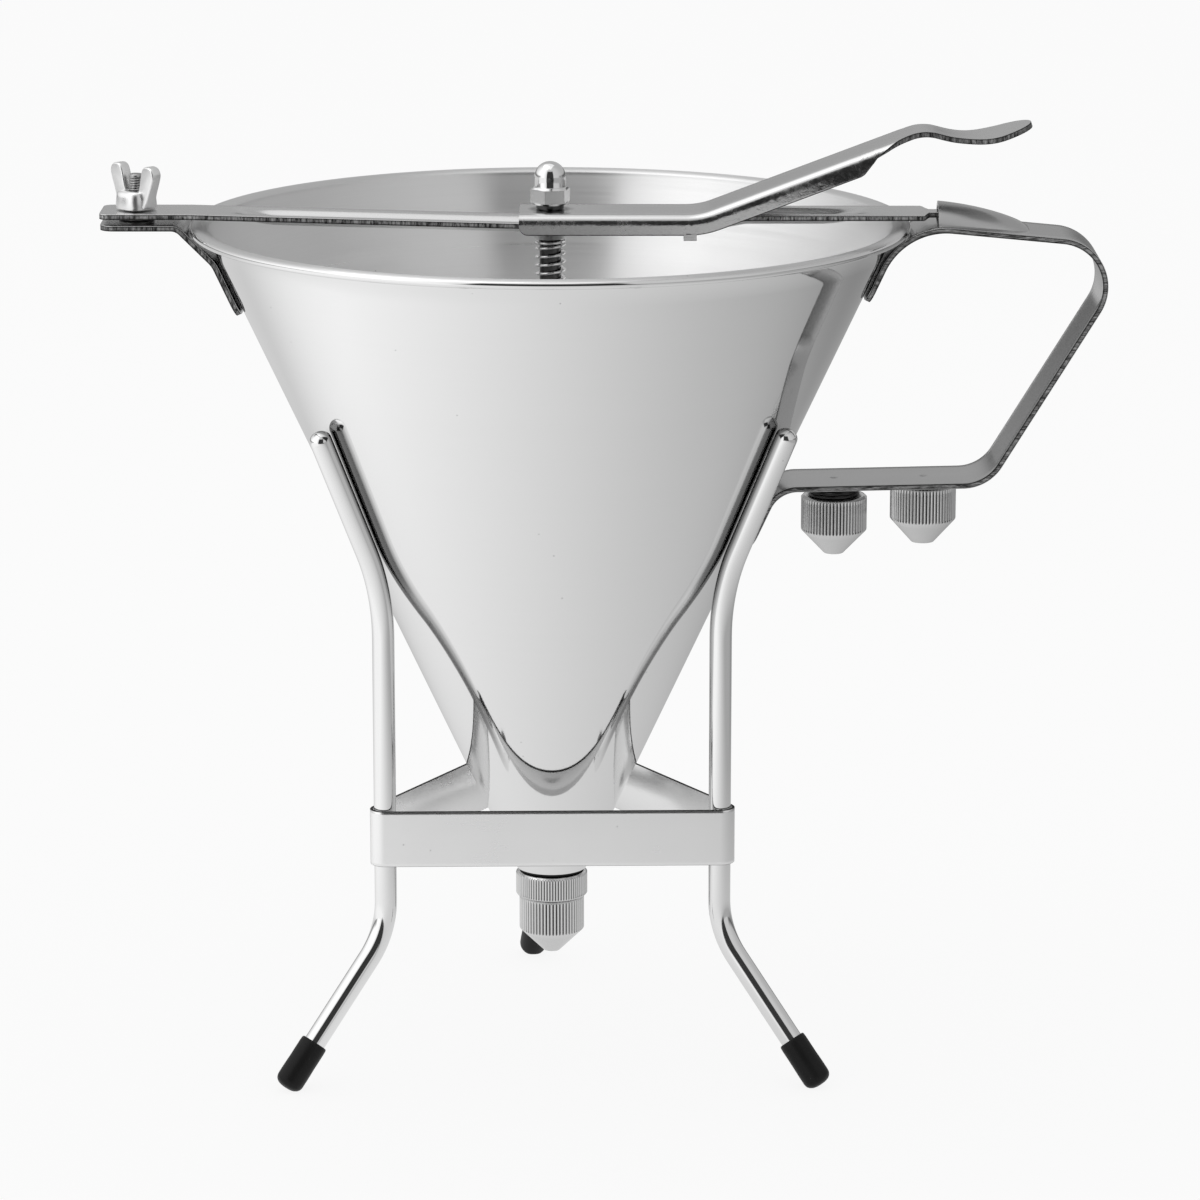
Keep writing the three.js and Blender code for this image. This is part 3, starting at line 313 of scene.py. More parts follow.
def strip_section(half, thickness, flat_points=9):
    """Section of a strip for each station: flat faces joined by sheared edges, corners rounded.

    half is an array of half widths. Returns (across, up, mark): mark is 0 on the broad faces and
    their rounded corners, and falls from 1 to 0.2 down the thickness of the sheared edge.
    """
    half = np.asarray(half, dtype=float)[:, None]
    level = thickness / 2 - EDGE_ROUND
    t = np.linspace(0, np.pi / 2, ROUND_POINTS)[1:]
    flat = (half - EDGE_ROUND) * np.linspace(-1, 1, flat_points)
    corner = half - EDGE_ROUND + EDGE_ROUND * np.sin(t)
    edge = np.hstack([corner, np.repeat(half, len(EDGE_SHARES), axis=1), corner[:, ::-1]])
    rounded = level + EDGE_ROUND * np.cos(t)
    fall = np.concatenate([rounded, level * (1 - 2 * EDGE_SHARES), -rounded[::-1]])
    torn = np.concatenate([0 * t, 1 - 0.85 * EDGE_SHARES, 0 * t + 0.2])
    broad = np.zeros(flat_points)
    across = np.hstack([flat, edge, flat[:, ::-1], -edge[:, ::-1]])
    up = np.concatenate([broad + thickness / 2, fall, broad - thickness / 2, fall[::-1]])
    mark = np.concatenate([broad, torn, broad, torn[::-1]])
    return across, np.broadcast_to(up, across.shape), np.broadcast_to(mark, across.shape)


def corner_half(half, corner, distance):
    """Half width near an end whose corners are quarter circles: it shrinks as a circle does."""
    return half - corner + quarter_curve(corner - distance, corner)


def end_stations(corner):
    """Distances from an end at which a rounded corner needs points, closer near the tip."""
    return corner * (1 - np.cos(np.linspace(0.12, np.pi / 2, 9)))


print("points round a strip:", strip_section([1.0], 1.0)[0].shape[1])

# %% [markdown]
# ## Shader groups
# Brushing, smudges and sheared edges are used by several metals, so each is one node group that
# gives out masks, and every metal mixes them in its own way.

# %% Shader helpers
def join(tree, source, socket):
    """Links a socket to another one, or types a value into it."""
    if hasattr(source, "is_output"):
        tree.links.new(source, socket)
    else:
        socket.default_value = source


def add_node(tree, kind, links=None, **values):
    """Adds a node, sets its properties and joins its inputs."""
    node = tree.nodes.new(kind)
    for key, value in values.items():
        setattr(node, key, value)
    for key, source in (links or {}).items():
        join(tree, source, node.inputs[key])
    return node


def maths(tree, operation, *sources, clamp=False):
    """One Math node; numbers are typed in, sockets are joined."""
    links = dict(enumerate(sources))
    return add_node(tree, "ShaderNodeMath", links, operation=operation, use_clamp=clamp).outputs[0]


def map_range(tree, value, low, high, start=0.0, end=1.0, kind="LINEAR"):
    """Maps a value between low and high to start and end, clamped outside."""
    links = {"Value": value, "From Min": low, "From Max": high, "To Min": start, "To Max": end}
    return add_node(tree, "ShaderNodeMapRange", links, clamp=True, interpolation_type=kind).outputs[0]


def stretch(tree, vector, by):
    """A vector times another one, number by number."""
    return add_node(tree, "ShaderNodeVectorMath", {0: vector, 1: by}, operation="MULTIPLY").outputs[0]


def noise(tree, vector, scale, detail, roughness):
    """Soft noise between 0 and 1."""
    links = {"Vector": vector, "Scale": scale, "Detail": detail, "Roughness": roughness}
    return add_node(tree, "ShaderNodeTexNoise", links).outputs["Fac"]


def mix_colour(tree, factor, first, second):
    """Blend of two colours by a factor; the Mix node keeps its colours in sockets 6 and 7."""
    links = {0: factor, 6: first, 7: second}
    return add_node(tree, "ShaderNodeMix", links, data_type="RGBA").outputs[2]


def node_group(name, inputs, outputs):
    """A shader node group: inputs as (name, kind, value), outputs as names of numbers."""
    tree = bpy.data.node_groups.new(name, "ShaderNodeTree")
    for label, kind, value in inputs:
        socket = tree.interface.new_socket(label, in_out="INPUT", socket_type="NodeSocket" + kind)
        if value is not None:
            socket.default_value = value
    for label in outputs:
        tree.interface.new_socket(label, in_out="OUTPUT", socket_type="NodeSocketFloat")
    given = tree.nodes.new("NodeGroupInput").outputs
    return tree, given, tree.nodes.new("NodeGroupOutput").inputs


# %% Brushing group
def brushing_group():
    """Streaks: a noise that is squeezed along one direction, so it runs long along the others."""
    tree, given, out = node_group(
        "brushing",
        [("Vector", "Vector", None), ("Squeeze", "Vector", (8.0, 8.0, 900.0)), ("Detail", "Float", 3.0)],
        ["Streak", "Broad"],
    )
    scaled = stretch(tree, given["Vector"], given["Squeeze"])
    shrunk = stretch(tree, scaled, (0.12, 0.12, 0.12))
    tree.links.new(noise(tree, scaled, 1.0, given["Detail"], 0.65), out["Streak"])
    tree.links.new(noise(tree, shrunk, 1.0, 2.0, 0.5), out["Broad"])
    return tree


BRUSHING = brushing_group()
print("group", BRUSHING.name)


# %% Smudge group
def smudge_group():
    """Handling marks: soft clouds and a few fine specks."""
    tree, given, out = node_group(
        "smudges",
        [("Vector", "Vector", None), ("Cloud Scale", "Float", 22.0),
         ("Speck Scale", "Float", 260.0), ("Speck Size", "Float", 0.07)],
        ["Cloud", "Speck"],
    )
    tree.links.new(noise(tree, given["Vector"], given["Cloud Scale"], 4.0, 0.6), out["Cloud"])
    cells = add_node(tree, "ShaderNodeTexVoronoi",
                     {"Vector": given["Vector"], "Scale": given["Speck Scale"]}).outputs
    chance = add_node(tree, "ShaderNodeTexWhiteNoise", {"Vector": cells["Position"]}).outputs["Value"]
    near = maths(tree, "LESS_THAN", cells["Distance"], given["Speck Size"])
    rare = maths(tree, "GREATER_THAN", chance, 0.93)
    tree.links.new(maths(tree, "MULTIPLY", near, rare), out["Speck"])
    return tree


SMUDGES = smudge_group()
print("group", SMUDGES.name)


# %% Sheared edge group
def sheared_group():
    """Sheared edge: torn metal with fine strokes between a dark line above and one below.

    The mark is 0 on broad faces; on the edge it rises from the lower to the upper arris.
    """
    tree, given, out = node_group(
        "sheared_edge",
        [("Vector", "Vector", None), ("Mark", "Float", 0.0), ("Grain", "Vector", (2200.0, 2200.0, 500.0))],
        ["Mask", "Tear", "Line"],
    )
    torn = noise(tree, stretch(tree, given["Vector"], given["Grain"]), 1.0, 4.0, 0.7)
    above = map_range(tree, given["Mark"], 0.80, 0.92, 0.0, 0.9)
    below = map_range(tree, given["Mark"], 0.24, 0.40, 0.8, 0.0)
    tree.links.new(map_range(tree, given["Mark"], 0.05, 0.18), out["Mask"])
    tree.links.new(map_range(tree, torn, 0.38, 0.62), out["Tear"])
    tree.links.new(maths(tree, "MAXIMUM", above, below), out["Line"])
    return tree


SHEARED = sheared_group()
print("group", SHEARED.name)

# %% [markdown]
# ## Metals
# All the metals share one recipe: a bright base colour, a roughness varied by brushing and
# smudges, and a fine bump. What differs is the direction of the brushing and how strong it is.

# %% Metal recipe
def empty_tree(owner):
    """Turns on the nodes of a material or a world and clears them."""
    owner.use_nodes = True
    owner.node_tree.nodes.clear()
    return owner.node_tree


def new_material(name):
    """An empty node material with its Principled shader, output and Object coordinates."""
    MATERIALS[name] = bpy.data.materials.new(name)
    tree = empty_tree(MATERIALS[name])
    shader = tree.nodes.new("ShaderNodeBsdfPrincipled")
    add_node(tree, "ShaderNodeOutputMaterial", {"Surface": shader.outputs[0]})
    return tree, shader.inputs, tree.nodes.new("ShaderNodeTexCoord").outputs["Object"]


def add_bump(tree, sockets, height, strength, distance):
    """Fine relief on a shader's normal; the distance is in metres."""
    links = {"Height": height, "Strength": strength, "Distance": distance}
    join(tree, add_node(tree, "ShaderNodeBump", links).outputs[0], sockets["Normal"])


def grey(level):
    """A plain grey."""
    return (level, level, level, 1.0)


def metal(name, level, rough, squeeze, streak, cloud, tone, bump, grain=None, edge_level=0.0, aniso=0.0):
    """Brushed metal: colour, roughness and bump follow the streaks; edges can be torn.

    A grain turns marks above 0 into sheared edges. A mark below 0 is the share of light that is
    lost where two pieces nearly touch. aniso stretches the gloss across brushing round the axis.
    """
    tree, sockets, place = new_material(name)
    brush = add_node(tree, "ShaderNodeGroup", {"Vector": place, "Squeeze": squeeze},
                     node_tree=BRUSHING).outputs
    smudge = add_node(tree, "ShaderNodeGroup", {"Vector": place}, node_tree=SMUDGES).outputs
    streaks = maths(tree, "SUBTRACT", brush["Streak"], 0.5)
    both = maths(tree, "ADD", streaks, maths(tree, "SUBTRACT", brush["Broad"], 0.5))
    clouded = maths(tree, "SUBTRACT", smudge["Cloud"], 0.5)
    roughness = maths(tree, "MULTIPLY_ADD", both, streak * 2, rough)
    roughness = maths(tree, "MULTIPLY_ADD", clouded, cloud * 2, roughness)
    shade = maths(tree, "MULTIPLY_ADD", both, tone * 2, 0.5, clamp=True)
    colour = mix_colour(tree, shade, grey(level * 0.86), grey(min(level * 1.12, 0.98)))
    speck = maths(tree, "MULTIPLY", smudge["Speck"], 0.35)
    colour = mix_colour(tree, speck, colour, grey(level * 0.35))
    mark = add_node(tree, "ShaderNodeAttribute", attribute_name="edge").outputs["Fac"]
    lost = maths(tree, "MULTIPLY", mark, -1.0, clamp=True)
    colour = mix_colour(tree, lost, colour, grey(0.0))
    height = brush["Streak"]
    if grain:
        edge = add_node(tree, "ShaderNodeGroup", {"Vector": place, "Mark": mark, "Grain": grain},
                        node_tree=SHEARED).outputs
        torn = mix_colour(tree, edge["Tear"], grey(edge_level * 0.3), grey(min(edge_level * 3.4, 0.95)))
        torn = mix_colour(tree, edge["Line"], torn, grey(0.03))
        colour = mix_colour(tree, edge["Mask"], colour, torn)
        roughness = maths(tree, "MULTIPLY_ADD", edge["Mask"], 0.42, roughness)
        height = maths(tree, "MULTIPLY_ADD", edge["Tear"], edge["Mask"], height)
    join(tree, colour, sockets["Base Color"])
    join(tree, maths(tree, "MAXIMUM", roughness, 0.03), sockets["Roughness"])
    sockets["Metallic"].default_value = 1.0
    if aniso:
        sockets["Anisotropic"].default_value = aniso
        sockets["Anisotropic Rotation"].default_value = 0.25
        turn = add_node(tree, "ShaderNodeTangent", direction_type="RADIAL", axis="Z")
        join(tree, turn.outputs[0], sockets["Tangent"])
    add_bump(tree, sockets, height, bump, 0.0002)


# %% The metals
AROUND = (9.0, 9.0, 1100.0)
LENGTHWISE = (14.0, 1300.0, 14.0)
STRAP_BRUSH = (14.0, 700.0, 14.0)
TURNED = (60.0, 60.0, 300.0)
THREADED = (120.0, 120.0, 400.0)
ALONG_EDGE = (260.0, 1500.0, 2600.0)
ACROSS_EDGE = (1500.0, 1500.0, 300.0)

# name, base level, roughness, squeeze, then how strong streak, cloud, tone and bump are,
# then the grain and the level of a sheared edge, and how far the gloss is stretched
METALS = (
    ("cone_polished_outside", 0.84, 0.055, AROUND, 0.02, 0.02, 0.03, 0.006),
    ("cone_brushed_inside", 0.80, 0.33, AROUND, 0.09, 0.03, 0.14, 0.06, None, 0.0, 0.9),
    ("strap_brushed", 0.52, 0.22, STRAP_BRUSH, 0.05, 0.05, 0.07, 0.015, ALONG_EDGE, 0.20),
    ("lug_brushed", 0.52, 0.22, STRAP_BRUSH, 0.05, 0.05, 0.07, 0.015, ACROSS_EDGE, 0.14),
    ("crossbar_satin", 0.72, 0.22, LENGTHWISE, 0.08, 0.05, 0.10, 0.04, ACROSS_EDGE, 0.20),
    ("lever_satin", 0.68, 0.20, LENGTHWISE, 0.10, 0.05, 0.12, 0.05, ACROSS_EDGE, 0.13),
    ("lever_wall_scratched", 0.50, 0.20, (700.0, 60.0, 700.0), 0.20, 0.05, 0.9, 0.35),
    ("band_bright", 0.95, 0.27, (9.0, 9.0, 300.0), 0.02, 0.05, 0.02, 0.005, ACROSS_EDGE, 0.06),
    ("wire_chrome", 0.86, 0.07, (160.0, 160.0, 12.0), 0.03, 0.04, 0.04, 0.01),
    ("nut_chrome", 0.82, 0.07, TURNED, 0.03, 0.03, 0.03, 0.01),
    ("nut_flats_satin", 0.56, 0.20, (700.0, 700.0, 700.0), 0.06, 0.03, 0.16, 0.05),
    # near-black steel: painted shade for the rod inside the spring and for the cap nut's foot
    ("steel_painted_shade", 0.07, 0.16, TURNED, 0.04, 0.03, 0.10, 0.02),
    ("spring_steel", 0.78, 0.12, (200.0, 200.0, 200.0), 0.04, 0.05, 0.10, 0.02),
    ("knurled_satin", 0.76, 0.15, (90.0, 90.0, 500.0), 0.06, 0.05, 0.08, 0.03),
    ("wing_nut_zinc", 0.93, 0.34, (420.0, 420.0, 420.0), 0.10, 0.05, 0.26, 0.30),
    ("thread_steel", 0.45, 0.30, THREADED, 0.08, 0.05, 0.12, 0.04),
    # near-black thread: painted shade for the spare studs, which lie in shadow under the handle
    ("spare_thread_painted_shade", 0.10, 0.34, THREADED, 0.08, 0.05, 0.12, 0.04),
)
for row in METALS:
    metal(*row)
print("metals", len(MATERIALS))


# %% Rubber
def rubber(name, level, rough):
    """Black moulded rubber: satin, with a fine grain and a little dust."""
    tree, sockets, place = new_material(name)
    smudge = add_node(tree, "ShaderNodeGroup", {"Vector": place, "Cloud Scale": 90.0, "Speck Scale": 700.0},
                      node_tree=SMUDGES).outputs
    shade = maths(tree, "MULTIPLY", smudge["Cloud"], 0.6)
    colour = mix_colour(tree, shade, grey(level), grey(level * 2.6))
    dust = maths(tree, "MULTIPLY", smudge["Speck"], 0.4)
    join(tree, mix_colour(tree, dust, colour, grey(0.16)), sockets["Base Color"])
    sockets["Specular IOR Level"].default_value = 0.16
    join(tree, maths(tree, "MULTIPLY_ADD", smudge["Cloud"], 0.14, rough), sockets["Roughness"])
    add_bump(tree, sockets, smudge["Cloud"], 0.05, 0.0003)


rubber("rubber_black", 0.007, 0.34)
print("rubber ready")

# %% [markdown]
# ## The cone
# A cone of thin sheet whose rim is rolled outwards into a bead. One closed profile, carried round
# the axis, gives the mirror-bright outside, the bead and the brushed inside.

# %% Cone measures
CONE_ANGLE = math.radians(24.9)
CONE_SLOPE = math.tan(CONE_ANGLE)
CONE_COS = math.cos(CONE_ANGLE)
RIM_RADIUS = (cone_high[0] - cone_low[0]) / 2
RIM_TOP = cone_high[2]
SPOUT_TOP = cone_low[2]
SPOUT_RADIUS = 9.9
APEX = SPOUT_TOP - SPOUT_RADIUS / CONE_SLOPE
WALL = 1.0 / CONE_COS
BEAD_WIDTH = 4.1
BEAD_HEIGHT = 2.7
BEAD_Z = RIM_TOP - BEAD_HEIGHT / 2
GAP = 0.3  # between the cone and what lies on it


def cone_radius(z):
    """Outer radius of the cone at a height: it grows evenly from the apex."""
    return (np.asarray(z) - APEX) * CONE_SLOPE


print("apex of the cone at", round(APEX, 2), "mm")

# %% Leg lines
LEG_R = 3.1
LEG_CIRCLE = 54.1
LEG_TOP = 185.4
LEG_BOTTOM = 106.0
SPLAY_Z = 41.5
BAND_TOP = 77.5
SPLAY = math.tan(math.radians(38.7))
STAND_TURN = 1.1
FOOT_R = 4.0
FOOT_AXIS = 3.25
CONTACT_SHADE = -0.2
# name, azimuth, turn of the foot, turn of the top, in degrees
LEGS = (("left", 210.0, 0.0, 12.0), ("right", 330.0, 0.0, -7.0), ("back", 90.0, 9.0, 0.0))


def leg_line(foot_turn, top_turn, spacing=2.5):
    """Middle line of a leg: bent in its own plane, then its two ends pushed aside.

    What lies further out than the upright part goes aside by that distance times a tangent.
    """
    lean = (LEG_R + GAP) / CONE_COS
    bend = APEX + (LEG_CIRCLE - lean) / CONE_SLOPE
    corners = [(float(cone_radius(LEG_TOP)) + lean, LEG_TOP), (LEG_CIRCLE, bend), (LEG_CIRCLE, SPLAY_Z),
               (LEG_CIRCLE + (SPLAY_Z - FOOT_AXIS) * SPLAY, FOOT_AXIS)]
    flat = fillet_path(corners, [60.0, 26.0], step=2.0, spacing=spacing)
    turn = np.radians(np.where(flat[:, 1] < BAND_TOP, foot_turn, top_turn))
    aside = np.maximum(flat[:, 0] - LEG_CIRCLE, 0) * np.tan(turn)
    return np.stack([flat[:, 0], aside, flat[:, 1]], axis=1)


def swing_round(points, azimuth):
    """Turns points about the funnel's axis and moves them to it."""
    turn = math.radians(azimuth + STAND_TURN)
    x = points[..., 0] * math.cos(turn) - points[..., 1] * math.sin(turn)
    y = points[..., 0] * math.sin(turn) + points[..., 1] * math.cos(turn)
    return np.stack([AXIS_X + x, y, points[..., 2]], axis=-1)


def beside_legs(points):
    """Light lost on the cone next to a leg, as marks below 0: most of it where they touch.

    The way along the cone from the line of contact is the square root of (distance to the leg's
    middle line squared, less its distance at the contact squared).
    """
    nearest = np.full(points.shape[:2], np.inf)
    for _, azimuth, foot_turn, top_turn in LEGS:
        line = swing_round(leg_line(foot_turn, top_turn, spacing=1.0), azimuth)
        for block in np.array_split(line, 8):
            gap = np.linalg.norm(points[:, :, None, :] - block, axis=-1).min(axis=2)
            nearest = np.minimum(nearest, gap)
    away = np.sqrt(np.maximum(nearest ** 2 - (LEG_R + GAP) ** 2, 0))
    return CONTACT_SHADE * (1 - smooth_step(away, 0.6, 2.8))


def towards_cone(line, circle):
    """Light lost on a leg's surface on the side that faces the cone, as marks below 0."""
    flat = line[:, :2] - [AXIS_X, 0]
    radius = np.linalg.norm(flat, axis=1)
    rise = np.full(len(line), CONE_COS * CONE_SLOPE)
    inward = np.column_stack([-flat / radius[:, None] * CONE_COS, rise])
    gap = (radius - cone_radius(line[:, 2])) * CONE_COS - LEG_R
    facing = np.einsum("ijk,ik->ij", circle, inward)
    near = 0.26 * smooth_step(facing, -0.15, 0.2) + 0.46 * smooth_step(facing, 0.22, 0.45)
    far = 0.3 * smooth_step(facing, 0.1, 0.5) + 0.42 * smooth_step(facing, 0.55, 0.9)
    far = far * smooth_step(line[:, 2], SPLAY_Z, BAND_TOP)[:, None]
    apart = smooth_step(gap, 0.8, 4.0)[:, None]
    return -near * (1 - apart) - far * apart


# %% Cone
def cone_profile():
    """Outer wall up, the bead as part of an ellipse, over its top, and the inner wall down."""
    bead_r = RIM_RADIUS - BEAD_WIDTH / 2
    by_legs = np.arange(LEG_BOTTOM, LEG_TOP + 6, 1.2)
    low = np.linspace(SPOUT_TOP + 0.3, LEG_BOTTOM - 1.2, 12)
    outer_z = np.concatenate([[SPOUT_TOP], low, by_legs, np.linspace(LEG_TOP + 8, BEAD_Z - 0.9, 8)])
    t = np.radians(np.linspace(205, 450, 34))
    bead = np.stack([bead_r + BEAD_WIDTH / 2 * np.cos(t), BEAD_Z + BEAD_HEIGHT / 2 * np.sin(t)], axis=1)
    over = bead_r - (cone_radius(BEAD_Z) - WALL)
    t = np.linspace(0, np.pi / 2, 12)[1:]
    lip = np.stack([bead_r - over * np.sin(t), BEAD_Z + BEAD_HEIGHT / 2 * np.cos(t)], axis=1)
    inner_z = np.linspace(BEAD_Z - 0.6, SPOUT_TOP, 30)
    outer = np.stack([cone_radius(outer_z), outer_z], axis=1)
    return outer, bead, lip, np.stack([cone_radius(inner_z) - WALL, inner_z], axis=1)


BRUSHED_ROWS = 8  # rows of the bead that already belong to the brushed inside
outer, bead, lip, inner = cone_profile()
profile = np.vstack([outer, bead, lip, inner])
near_leg = np.radians(np.linspace(-9, 9, 73))
by_legs = [np.radians(azimuth + STAND_TURN) + near_leg for _, azimuth, _, _ in LEGS]
cone_angles = np.unique(np.round(np.concatenate([whole_turn(192)] + by_legs), 5))
store = revolve(new_store(), profile, (AXIS_X, 0, 0), angles=cone_angles)
grid = store["points"][0].reshape(len(profile), len(cone_angles), 3)
lost = beside_legs(grid[:len(outer)])
store["marks"][0][:lost.size] = lost.ravel()
is_inner = np.zeros(len(profile), dtype=int)
is_inner[len(outer) + len(bead) - BRUSHED_ROWS:-1] = 1
store["slots"] = np.repeat(is_inner, len(cone_angles)).tolist()
piece("cone", store, "funnel", "funnel_cone",
      ["cone_polished_outside", "cone_brushed_inside"], sharp=50)

# %% [markdown]
# ## Lug and handle
# Both are one strip of sheet, sheared to width and bent. A section carried along a bent path folds
# the same way, and it tells the brushed broad faces from the sheared edges, dark and torn.

# %% Lug
STRAP_WIDTH = 24.6
STRAP = 1.5
STRAP_CORNER = 4.0
ON_CONE = (GAP + STRAP / 2) / CONE_COS


def on_cone(z, side=1):
    """Middle of a strip that lies on the cone at a height."""
    return np.array([side * (cone_radius(z) + ON_CONE), z])


def strap(path):
    """A strip along a path, with both its ends' corners rounded."""
    near = end_stations(STRAP_CORNER)
    path, run = add_stations(path, np.concatenate([[0.0], near, -near]))
    half = corner_half(STRAP_WIDTH / 2, STRAP_CORNER, np.minimum(run, run[-1] - run))
    across, up, mark = strip_section(half, STRAP)
    return add_solid(new_store(), on_plane(path, across, up), marks=mark)


LUG_END = RIM_RADIUS + 24.1
LUG_BEND = RIM_RADIUS + 2.8
lug_top = box_mm("left_lug")[1][2]
lug_middle = lug_top - STRAP / 2
# a slope of 45 degrees leads from the bend down to the cone and meets it at this height
meet = (lug_middle - LUG_BEND + ON_CONE - APEX * CONE_SLOPE) / (1 - CONE_SLOPE)
lug_path = fillet_path(
    [(-LUG_END, lug_middle), (-LUG_BEND, lug_middle), on_cone(meet, -1), on_cone(RIM_TOP - 25.2, -1)],
    [4.0, 8.0],
)
piece("lug", strap(lug_path), "funnel", "left_lug", ["lug_brushed"])

# %% Handle path
DROOP = math.tan(math.radians(5.34))
CLIMB = math.tan(math.radians(1.27))
crest = RIM_TOP - 0.25
run_z = RIM_TOP - 74.2
run_x = on_cone(run_z)[0]
corner_x = RIM_RADIUS + 62.35
heel_x = corner_x - 40.65


def crest_at(x):
    """Middle of the handle's top run: it droops evenly outwards."""
    return crest - (x - RIM_RADIUS) * DROOP


def run_at(x):
    """Middle of the handle's lower run: it climbs a little outwards."""
    return run_z + (x - run_x) * CLIMB


shift = ON_CONE - APEX * CONE_SLOPE
shoulder = (crest - (shift - RIM_RADIUS) * DROOP) / (1 + CONE_SLOPE * DROOP)
handle_path = fillet_path(
    [on_cone(RIM_TOP - 21.4), on_cone(shoulder), (corner_x, crest_at(corner_x)), (heel_x, run_at(heel_x)),
     on_cone(run_z), on_cone(RIM_TOP - 90.3)],
    [19.0, 13.0, 12.0, 9.0],
)
print("handle path", len(handle_path), "points")

# %% Handle with its bridge
BRIDGE_START = RIM_RADIUS + 7.5
BRIDGE_LENGTH = 25.5
BRIDGE_WIDTH = 15.0
BRIDGE_RISE = 5.5
BRIDGE_WALL = 1.3
BRIDGE_FULL = 0.8
BRIDGE_LONG = 0.55
WELDS_X = (79.64, 104.64)
WELD_R = 1.15
WELD_HEIGHT = 0.22


def bridge_shell(inset, count=48, around=40):
    """Half-tunnel over the strap, lower towards its closed end.

    Across the strip the height follows a cosine raised to BRIDGE_FULL, so its sides slope, and
    along it a cosine raised to BRIDGE_LONG brings the roof down to the strap.
    """
    s = np.linspace(0, 1, count)[:, None]
    t = np.linspace(-1, 1, around)[None, :]
    x = BRIDGE_START + s * BRIDGE_LENGTH
    roof = STRAP + BRIDGE_RISE * np.maximum(np.cos(np.pi / 2 * s), 0) ** BRIDGE_LONG - inset
    y = -(BRIDGE_WIDTH / 2 - inset) * t + 0 * s
    arch = np.maximum(np.cos(np.pi / 2 * t), 0) ** BRIDGE_FULL
    z = crest_at(x) - STRAP / 2 + np.maximum(roof, 0.2) * arch
    return np.stack([AXIS_X + x + 0 * t, y, z], axis=-1)


def weld_mark(store, x, z):
    """A small spot left by a welded stud: a low ring with a dimple, as height over radius."""
    r = np.linspace(0, 1, 9)
    rise = WELD_HEIGHT * (1 - r ** 2) * (0.35 + 2.6 * r ** 2)
    profile = np.stack([np.maximum(r * WELD_R, MIDDLE), rise], axis=1)
    profile = np.vstack([profile, [[WELD_R, -0.4], [MIDDLE, -0.4]]])
    return revolve(store, profile, (AXIS_X + x, 0, z), steps=20)


store = strap(handle_path)
outside, inside = bridge_shell(0.0), bridge_shell(BRIDGE_WALL)
add_grid(store, np.concatenate([outside, inside[:, ::-1]], axis=1), wrap_v=True, caps=(False, True))
add_grid(store, np.stack([outside[0], inside[0]], axis=0))
for x in WELDS_X:
    weld_mark(store, x, run_at(x) + STRAP / 2)
piece("handle", store, "funnel", "handle_strap", ["strap_brushed"])

# %% [markdown]
# ## Crossbar
# A pressed strip with a gutter along its middle for stiffness, which fades out near both ends. The
# press only moves the strip's points down, so a depth at each point is enough.

# %% Crossbar
BAR_WIDTH = 18.0
BAR = 1.5
BAR_TOP = box_mm("crossbar")[1][2]
BAR_LEFT = RIM_RADIUS + 24.5
BAR_RIGHT = RIM_RADIUS + 5.6
BAR_CORNER = 2.5
BAR_DIP = 2.5
TONGUE = 5.5
TONGUE_HALF = 3.0
TONGUE_STEP = 2.4
GUTTER = 1.9


def bar_half(run):
    """Half width: rounded corners at the left end, a step down to the tongue at the right."""
    half = corner_half(BAR_WIDTH / 2, BAR_CORNER, run)
    return half + (TONGUE_HALF - half) * cosine_step(run - BAR_LEFT, BAR_RIGHT - TONGUE_STEP, BAR_RIGHT)


def gutter_depth(x):
    """Depth of the gutter: full in the middle, fading over the last 12 mm before its ends."""
    inside = np.clip((RIM_RADIUS - 13 - np.abs(x)) / 12.0, 0, 1)
    return GUTTER * np.sin(np.pi / 2 * inside)


def bar_middle():
    """Path of the bar's middle: level, a long dip to the rod, level, and up a shoulder."""
    middle = BAR_TOP - BAR / 2
    dip, tongue = middle - BAR_DIP, middle - 0.3
    corners = [(-BAR_LEFT, middle), (-RIM_RADIUS, middle), (-8.0, dip), (42.0, dip), (54.0, tongue),
               (BAR_RIGHT + TONGUE, tongue)]
    return fillet_path(corners, [60.0, 60.0, 12.0, 12.0], spacing=1.5)


tongue_stations = -TONGUE - np.linspace(-0.4, 3.0, 14)
path, run = add_stations(bar_middle(), np.concatenate([end_stations(BAR_CORNER), tongue_stations]))
across, up, mark = strip_section(bar_half(run), BAR, flat_points=61)
press = gutter_depth(path[:, 0])[:, None] * cosine_step(6.2 - np.abs(across), 0, 4.6)
store = add_solid(new_store(), on_plane(path, across, up - press), marks=mark)
gutter_low = BAR_TOP - BAR_DIP - GUTTER - BAR
collar = [(3.3, -2.0), (4.3, -2.0), (4.6, -1.6), (5.9, 0.2), (5.9, 0.6), (3.3, 0.6)]
revolve(store, collar, (AXIS_X, 0, gutter_low))
piece("crossbar_pressed", store, "funnel", "crossbar", ["crossbar_satin"])

# %% [markdown]
# ## Thumb lever
# One blank of sheet: a channel with rounded folds, whose walls stop in a slanted cut, and a thumb
# paddle. The sheet is worked out flat, as (distance along, distance across), and then folded.

# %% Lever path
LEVER_HALF = 11.25
SHEET = 1.5
FOLD = 2.25
LEVER_DEPTH = 5.8
LEVER_LEFT = -8.5
LEVER_CORNER = 2.5
BEND_X = 41.6
CREST_X, DIP_X, TIP_X = 103.0, 117.2, 133.2
WEB_MIDDLE = BAR_TOP - BAR_DIP + 1.23 + SHEET / 2
ARM_RISE = math.tan(math.radians(20.65))

